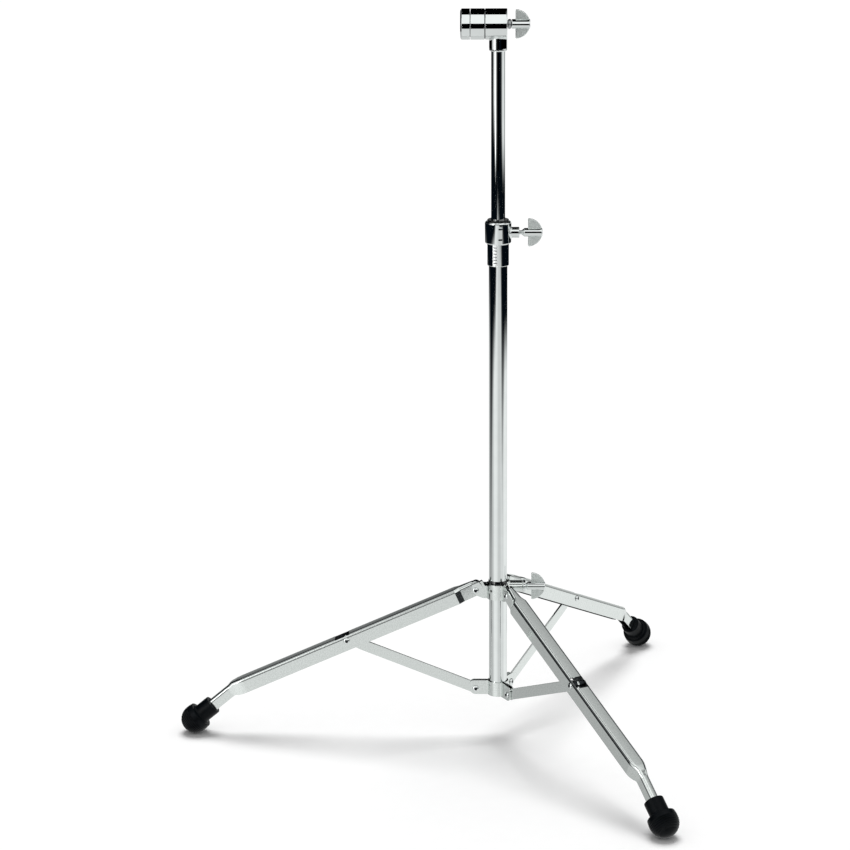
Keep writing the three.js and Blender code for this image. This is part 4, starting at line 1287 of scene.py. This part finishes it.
def leg(name):
    bm = bmesh.new()
    rings = []
    for distance, half_width, half_depth in leg_stations():
        at, up = leg_line(distance)
        ring = []
        for across, height in channel_section(half_width, half_depth):
            ring.append(bm.verts.new((at.x + up.x * height, across, at.y + up.y * height)))
        rings.append(ring)
    skin(bm, rings)
    bm.faces.new(rings[0])
    bm.faces.new(rings[-1])
    place = in_leg(name)
    channel = mesh_object(f"leg_{name}_fine", bm, place)

    deep = LEG_DEPTH * HALF
    far = -deep - OVERRUN
    half_turn = [math.pi * (HALF + i / 24) for i in range(25)]
    arc = [leg_frame(deep * math.cos(a), deep * math.sin(a)) for a in half_turn]
    outline = arc + leg_corners((0, far), (far, far), (far, -far), (0, -far))
    past_end = plate("past_end", outline, -LEG_WIDTH * HALF, LEG_WIDTH * HALF, 0, place)

    notch_outline = leg_corners((far, far), (WEB_START, far), (WEB_START, -far), (far, -far))
    notch = plate("notch", notch_outline, -LEG_END_INNER, LEG_END_INNER, 0, place)
    pivot_along = math.sqrt(LINK.length**2 - (2 * PIVOT_OFFSET) ** 2)
    slot_start = pivot_along - SLOT_ABOVE_PIVOT
    slot_end = pivot_along + SLOT_BELOW_PIVOT
    slot_outline = leg_corners((slot_start, 0), (slot_end, 0), (slot_end, -far), (slot_start, -far))
    slot = plate("slot", slot_outline, -SLOT_WIDTH * HALF, SLOT_WIDTH * HALF, 0, place)
    drills = [
        drill(RIVET_HOLE, -LEG_WIDTH, LEG_WIDTH, across_leg(name, pivot))
        for pivot in (COLLAR_PIVOT, STRUT_PIVOT)
    ]
    piece = cut(channel, past_end, notch, slot, *drills)
    to_leg = place.inverted()
    turn = to_leg.to_3x3()

    # The channel's inner faces get the painted shade.
    def shaded_inside(face):
        spot = to_leg @ face.center
        facing = turn @ face.normal
        over_crease = spot.x > CREASE.x
        start, slope = (CREASE, FOOT_SLOPE) if over_crease else (LINE_START, LEG_SLOPE)
        up = lift(slope)
        height = (Vector((spot.x, spot.z)) - start).dot(up) + LEG_DEPTH * HALF
        return facing.y * spot.y + Vector((facing.x, facing.z)).dot(up) * height < -SHEET

    dress(piece, PRESSED, "chrome", f"leg_{name}", f"leg_{name}", finishes=((PAINTED_SHADE, shaded_inside),))


def strut(name):
    line = STRUT_PIVOT - HUB_PIVOT
    along = line.normalized()
    up = Vector((-along.y, along.x))
    angle = math.atan2(along.y, along.x)
    half = STRUT_DEPTH * HALF

    def arc(centre, radius, start, steps=16):
        turns = [angle + start + math.pi * i / steps for i in range(steps + 1)]
        return [centre + Vector((math.cos(t), math.sin(t))) * radius for t in turns]

    shoulder = along * (line.length - STRUT_TAPER)
    outline = arc(HUB_PIVOT, half, math.pi * HALF)
    outline.append(HUB_PIVOT + shoulder - up * half)
    outline += arc(STRUT_PIVOT, STRUT_NOSE, -math.pi * HALF)
    outline.append(HUB_PIVOT + shoulder + up * half)
    thick = STRUT_THICKNESS * HALF
    piece = plate(f"strut_{name}_fine", outline, -thick, thick, STRUT_EDGE, in_leg(name))
    drills = [
        drill(RIVET_HOLE, -STRUT_THICKNESS, STRUT_THICKNESS, across_leg(name, pivot))
        for pivot in (HUB_PIVOT, STRUT_PIVOT)
    ]
    dress(cut(piece, *drills), PRESSED, "chrome", f"strut_{name}", f"strut_{name}")


def rivet(node, name, body, pivot, half_grip):
    shoulder = half_grip + FIT_GAP
    steps = 9
    last_turn = math.acos(RIVET_DIMPLE / RIVET_HEAD_RADIUS)
    dome = []
    for step in range(steps + 1):
        turn = last_turn * step / steps
        dome.append((RIVET_HEAD_RADIUS * math.cos(turn), shoulder + RIVET_HEAD_HEIGHT * math.sin(turn)))
    floor_height = dome[-1][1] - RIVET_DIMPLE_DEPTH
    dome.append((RIVET_DIMPLE * 0.7, floor_height + RIVET_DIMPLE_DEPTH * 0.2))
    dome.append((0, floor_height))
    profile = [(r, -h) for r, h in reversed(dome)]
    profile += [(RIVET_RADIUS, -shoulder), (RIVET_RADIUS, shoulder)]
    profile += dome
    place = across_leg(name, pivot)
    piece = turned(f"{node}_fine", profile, place, SMALL_SEGMENTS)
    to_rivet = place.inverted()

    # The hollow in the rivet's head gets the painted shade.
    def shaded_dimple(face):
        return (to_rivet @ face.center).xy.length < RIVET_DIMPLE * 0.98

    dress(piece, POLISHED, "chrome", body, node, finishes=((PAINTED_SHADE, shaded_dimple),))


def spacer(node, name, body, pivot, low, high):
    # The spacers carry the painted shade.
    profile = ring_profile(RIVET_HOLE, SPACER_RADIUS, low, high, 0.25 * MM)
    turned_node(node, profile, across_leg(name, pivot), SHADED_SPACER, "zinc", body, SMALL_SEGMENTS)


def foot_profile():
    points = [
        (0, -SLEEVE_MOUTH),
        (SLEEVE_RADIUS, -SLEEVE_MOUTH, SLEEVE_EDGE),
        (SLEEVE_RADIUS, -BULB_SHOULDER, SLEEVE_FILLET),
        (BULB_RIM, -BULB_SHOULDER, RIM_EDGE),
    ]
    ribbed = RIB_PITCH * RIB_COUNT
    for step in range(RIB_COUNT * RIB_STEPS + 1):
        distance = RIB_START + ribbed * step / (RIB_COUNT * RIB_STEPS)
        reach = math.sqrt(BULB_RADIUS**2 - max(distance, 0) ** 2)
        wave = HALF - HALF * math.cos(2 * math.pi * step / RIB_STEPS)
        points.append((reach - RIB_DEPTH * wave, distance))
    last = RIB_START + ribbed
    steps = 8
    last_turn = math.asin(last / BULB_RADIUS)
    for step in range(1, steps):
        turn = last_turn + (math.pi * HALF - last_turn) * step / steps
        points.append((BULB_RADIUS * math.cos(turn), BULB_RADIUS * math.sin(turn)))
    points.append((0, BULB_RADIUS))
    return points


def foot(name):
    towards = Matrix.Rotation(math.pi * HALF + FOOT_SLOPE, 4, "Y")
    place = in_leg(name) @ Matrix.Translation((BULB.x, 0, BULB.y))
    piece = turned(f"foot_{name}_fine", foot_profile(), place @ towards)
    top = LEG_END_DEPTH * HALF + FIT_GAP
    across = LEG_FOOT_OUTER + FIT_GAP
    inner_end = CREASE_TO_END - (BULB - CREASE).length + FIT_GAP
    corner = LEG_CORNER + FIT_GAP
    outline = rounded(
        [(across, -top, SHEET_EDGE), (across, top, corner), (-across, top, corner), (-across, -top, SHEET_EDGE)]
    )
    pocket_place = place @ Matrix.Rotation(FOOT_SLOPE, 4, "Y")
    pocket = bar("pocket", outline, -SLEEVE_MOUTH - OVERRUN, inner_end, pocket_place)
    ground = block(
        "ground",
        (-BULB_RADIUS * 2, -BULB_RADIUS * 2, -BULB_RADIUS * 2),
        (BULB_RADIUS * 2, BULB_RADIUS * 2, -BULB.y),
        place,
    )
    dress(cut(piece, pocket, ground), RUBBER, "rubber", f"leg_{name}", f"foot_{name}")


def leg_set(name):
    ear_inner = EAR_GAP * HALF
    beside_strut = STRUT_THICKNESS * HALF + FIT_GAP
    beside_flange = SLOT_WIDTH * HALF - FIT_GAP
    leg(name)
    strut(name)
    foot(name)
    rivet(f"leg_rivet_{name}", name, "collar", COLLAR_PIVOT, LEG_END_OUTER)
    rivet(f"strut_rivet_{name}", name, f"strut_{name}", STRUT_PIVOT, LEG_WIDTH * HALF)
    rivet(f"hub_rivet_{name}", name, "base", HUB_PIVOT, EAR_OUTER)
    spacer(f"leg_spacer_{name}", name, "collar", COLLAR_PIVOT, FIT_GAP - ear_inner, ear_inner - FIT_GAP)
    spacer(f"strut_spacer_a_{name}", name, f"strut_{name}", STRUT_PIVOT, -beside_flange, -beside_strut)
    spacer(f"strut_spacer_b_{name}", name, f"strut_{name}", STRUT_PIVOT, beside_strut, beside_flange)


# Studio
BOX_LEVELS = (
    (-180, 0.75), (-166, 0.62), (-155, 0.1), (-100, 0.0), (-88, 0.08), (-70, 1.0), (-44, 1.0),
    (-30, 0.28), (-14, 0.0), (42, 0.0), (56, 0.12), (74, 0.9), (104, 1.0), (122, 0.38),
    (140, 0.55), (165, 0.79), (180, 0.7),
)
BOX_DROPS = (
    (-180, 10.0), (-80, 9.5), (-64, 9.5), (-48, 10.2), (60, 9.8), (76, 10.3), (180, 10.4),
)
FLOOR_DROPS = (
    (-180, 13.0), (-125, 13.0), (-117, 14.5), (-108, 18.5), (-90, 16.5), (-74, 14.8), (-58, 14.0),
    (-32, 13.4), (-21, 12.3), (-13, 11.3), (0, 11.5), (28, 12.0), (36, 12.8), (46, 15.0),
    (59, 15.7), (74, 14.7), (92, 13.9), (180, 13.7),
)
FLOOR_SOFTNESS = (
    (-180, 1.0), (-125, 1.0), (-112, 3.0), (-90, 3.0), (-74, 1.6), (-58, 0.9), (-32, 0.8),
    (-12, 0.6), (30, 0.7), (45, 2.6), (60, 2.2), (76, 1.2), (92, 0.7), (180, 0.7),
)
FLOOR_LEVELS = (
    (-180, 0.75), (-125, 0.52), (-117, 0.52), (-108, 0.62), (-74, 0.62), (-56, 0.85), (-45, 1.05),
    (-19, 1.0), (-5, 0.88), (8, 0.74), (32, 0.78), (45, 0.9), (60, 0.85), (92, 1.05),
    (125, 1.0), (180, 0.8),
)
CEILING_LEVELS = ((-90, 0), (45, 0), (50, 0.3), (54, 0.5), (57, 0.66), (61, 0.9), (65, 1.1), (90, 1.1))


BEHIND_FROM = (112, 122)
BOX_FADE = (35, 55)
ROOM_FADE = (5, 15)
LAMP_CORE = (-51, -39)
LAMP_CORE_LEVEL = 3.0
SCREEN_FOOT = 10.6
SCREEN_TOP = 79
SCREEN_SIDES = (-20, 68)
SIDE_SCREEN_TOP = 22
SIDE_SCREEN_SIDES = (-74, -16)
SCREEN_LEVEL = 1.15
LARGEST_DROP = 20
LARGEST_CEILING = 1.2
DARK = (0.0015, 0.0035, 0.006, 1)
WHITE = (0.985, 1.0, 0.995, 1)
CARD_THICKNESS = 0.01
FRONT_CARD_SIDES = (-0.16, 0.12)
FRONT_CARD_PLACE = -0.62
OVER_CARD_REACH = 0.2
OVER_CARD_HEIGHT = 0.59
OVER_CARD_FRONT = -0.1
BACK_CARD_PLACE = 0.5
NUT_CARD_SIDES = (0.02, 0.075)
NUT_CARD_FRONT = -0.36
NECK_CARD_RADIUS = 0.16
NECK_CARD_DROPS = (0.0545, 0.02)
NECK_CARD_TURNS = {"neck_flag_right": (38, 135), "neck_flag_left": (-170, -84)}
FLOOR_REACH = 40
SUN_ENERGY = 2.1
SUN_ANGLE = math.radians(34)
SUN_TILT = math.radians(-22)
AMBIENT = (0.48, 0.48, 0.48, 1)


def studio_world():
    """White to the eye; polished metal sees a white room with black flags and soft boxes."""
    world = bpy.data.worlds.new("studio")
    bpy.context.scene.world = world
    world.use_nodes = True
    world.cycles.sampling_method = "NONE"
    graph = Graph(world.node_tree)
    direction = graph.add("ShaderNodeTexCoord").outputs["Generated"]
    split = graph.add("ShaderNodeSeparateXYZ")
    graph.put(split.inputs[0], direction)
    x, y, z = split.outputs
    azimuth = graph.math("DEGREES", graph.math("ARCTAN2", x, graph.math("MULTIPLY", y, -1)))
    elevation = graph.math("DEGREES", graph.math("ARCSINE", z))
    behind = graph.rise(graph.math("ABSOLUTE", azimuth), *BEHIND_FROM)

    def table(stops, largest=1):
        shares = [(place, level / largest) for place, level in stops]
        return graph.math("MULTIPLY", graph.table(azimuth, -180, 180, shares), largest)

    # Soft boxes beside the camera and the lit room behind, seen where they reach low enough
    box_drop = table(BOX_DROPS, 12)
    boxes_low = graph.rise(graph.math("ADD", elevation, box_drop), -0.6, 0.6)
    boxes_high = graph.without(graph.rise(elevation, *BOX_FADE))
    room_high = graph.without(graph.rise(elevation, *ROOM_FADE))
    reach = graph.math("ADD", graph.product(boxes_high, graph.without(behind)), graph.product(room_high, behind))
    lamp_core = graph.product(graph.band(azimuth, *LAMP_CORE, 3), LAMP_CORE_LEVEL)
    boxes = graph.product(graph.math("ADD", table(BOX_LEVELS), lamp_core), boxes_low, reach)

    # The lit floor, which begins at a drop that differs round the stand
    drop = table(FLOOR_DROPS, LARGEST_DROP)
    below = graph.math("MULTIPLY", graph.math("ADD", elevation, drop), -1)
    soft = table(FLOOR_SOFTNESS, 4)
    floor = graph.product(graph.rise(graph.math("DIVIDE", below, soft), -1, 1), table(FLOOR_LEVELS))

    # A white screen over the camera, lower on its left, and a ceiling that is brighter overhead
    tall = graph.band(elevation, SCREEN_FOOT, SCREEN_TOP, 0.8)
    screen = graph.product(tall, graph.band(azimuth, *SCREEN_SIDES, 8), SCREEN_LEVEL)
    short = graph.band(elevation, SCREEN_FOOT, SIDE_SCREEN_TOP, 0.8)
    side_screen = graph.product(short, graph.band(azimuth, *SIDE_SCREEN_SIDES, 4), SCREEN_LEVEL)
    stops = [(place, level / LARGEST_CEILING) for place, level in CEILING_LEVELS]
    ceiling = graph.product(graph.table(elevation, -90, 90, stops), LARGEST_CEILING)

    level = graph.most(boxes, floor, screen, side_screen, ceiling)
    path = graph.add("ShaderNodeLightPath")
    seen = graph.mix_colour(level, DARK, WHITE)
    seen.node.clamp_factor = False
    lit = graph.mix_colour(path.outputs["Is Glossy Ray"], AMBIENT, seen)
    straight = graph.most(path.outputs["Is Camera Ray"], path.outputs["Is Transmission Ray"])
    shown = graph.mix_colour(straight, lit, (1, 1, 1, 1))
    background = graph.add("ShaderNodeBackground")
    graph.put(background.inputs["Color"], shown)
    output = graph.add("ShaderNodeOutputWorld")
    graph.put(output.inputs["Surface"], background.outputs[0])


def black_card(card, material):
    """A flag that only polished metal sees."""
    card.data.materials.append(material)
    for unseen in ("visible_camera", "visible_diffuse", "visible_shadow", "visible_transmission"):
        setattr(card, unseen, False)


def flat_card(name, low, high, height, material):
    """A level black card between two corners (x from the mast, y)."""
    low_corner = (MAST_X + low[0], low[1], height)
    high_corner = (MAST_X + high[0], high[1], height + CARD_THICKNESS)
    black_card(block(name, low_corner, high_corner, None), material)


def upright_card(name, across, near, low, high, material):
    """A black card square to the view, between two places across from the mast and two heights."""
    low_corner = (MAST_X + across[0], near, low)
    high_corner = (MAST_X + across[1], near + CARD_THICKNESS, high)
    black_card(block(name, low_corner, high_corner, None), material)


def curved_card(name, radius, bottom, top, start, end, material):
    """A black strip round the mast between two turns, counted from the camera's side towards +X."""
    steps = 24
    bm = bmesh.new()
    rings = []
    for height in (bottom, top):
        ring = []
        for step in range(steps + 1):
            turn = math.radians(start + (end - start) * step / steps)
            ring.append(bm.verts.new((radius * math.sin(turn), -radius * math.cos(turn), height)))
        rings.append(ring)
    skin(bm, rings, closed_round=False)
    black_card(mesh_object(name, bm, MAST), material)


def flags():
    """Black cards before, over and behind the head, beside its neck and over its nut."""
    material, graph, shader = new_material("black_card")
    shader.inputs["Base Color"].default_value = (0, 0, 0, 1)
    shader.inputs["Specular IOR Level"].default_value = 0
    over = HEAD_AXIS + OVER_CARD_HEIGHT
    side, back = OVER_CARD_REACH, BACK_CARD_PLACE
    upright_card("front_flag", FRONT_CARD_SIDES, FRONT_CARD_PLACE, HEAD_AXIS - 0.31, HEAD_AXIS + 0.1, material)
    flat_card("over_flag", (-side, OVER_CARD_FRONT), (side, back), over, material)
    nut_low, nut_high = NUT_CARD_SIDES
    flat_card("nut_flag", (nut_low, NUT_CARD_FRONT), (nut_high, OVER_CARD_FRONT), over, material)
    upright_card("back_flag", (-side, side), back, HEAD_AXIS - 0.06, over, material)
    bottom, top = (HEAD_AXIS - drop for drop in NECK_CARD_DROPS)
    for name, turns in NECK_CARD_TURNS.items():
        curved_card(name, NECK_CARD_RADIUS, bottom, top, *turns, material)


def studio():
    studio_world()
    bm = bmesh.new()
    bmesh.ops.create_grid(bm, x_segments=1, y_segments=1, size=FLOOR_REACH)
    floor = mesh_object("floor", bm)
    material, graph, shader = new_material("white_floor")
    grain = graph.noise(graph.stretched((1, 1, 1)), 40, detail=2)
    white = graph.mix_colour(grain, (0.93, 0.93, 0.93, 1), (0.95, 0.95, 0.95, 1))
    graph.put(shader.inputs["Base Color"], white)
    shader.inputs["Roughness"].default_value = 1
    shader.inputs["Specular IOR Level"].default_value = 0
    floor.data.materials.append(material)
    floor.visible_glossy = False

    flags()
    lamp = bpy.data.lights.new("overhead", "SUN")
    lamp.energy = SUN_ENERGY
    lamp.angle = SUN_ANGLE
    holder = bpy.data.objects.new("overhead", lamp)
    holder.rotation_euler = (SUN_TILT, 0, 0)
    holder.visible_glossy = False
    bpy.context.scene.collection.objects.link(holder)


def camera():
    data = bpy.data.cameras.new("camera")
    data.lens = CAMERA_LENS
    data.sensor_width = 36
    data.clip_end = 100
    made = bpy.data.objects.new("camera", data)
    bpy.context.scene.collection.objects.link(made)
    tilt = Matrix.Rotation(math.pi * HALF - CAMERA_PITCH, 4, "X")
    pan = Matrix.Rotation(CAMERA_PAN, 4, "Y")
    made.matrix_world = Matrix.Translation(CAMERA_PLACE) @ tilt @ pan
    bpy.context.scene.camera = made


camera()
mast_tubes()
clamp_housing()
clamp_bush()
head_body()
jaws()
screw_pads()
wing_screw("clamp_wing_screw", "clamp_screw", HUB_LEAD, CLAMP_AXIS)
flange_face = reach_span("leg_collar")[1] + FIT_GAP
flange = (flange_face, flange_face + FLANGE_WIDTH)
wing_screw("collar_wing_screw", "collar_screw", HUB_LEAD, COLLAR_AXIS, flange)
head_wing_nut()
leg_collar()
lower_collar()
collar_bush()
for leg_name in LEG_FIRST_JOINT:
    leg_set(leg_name)
studio()

bpy.context.scene.view_settings.view_transform = "Standard"
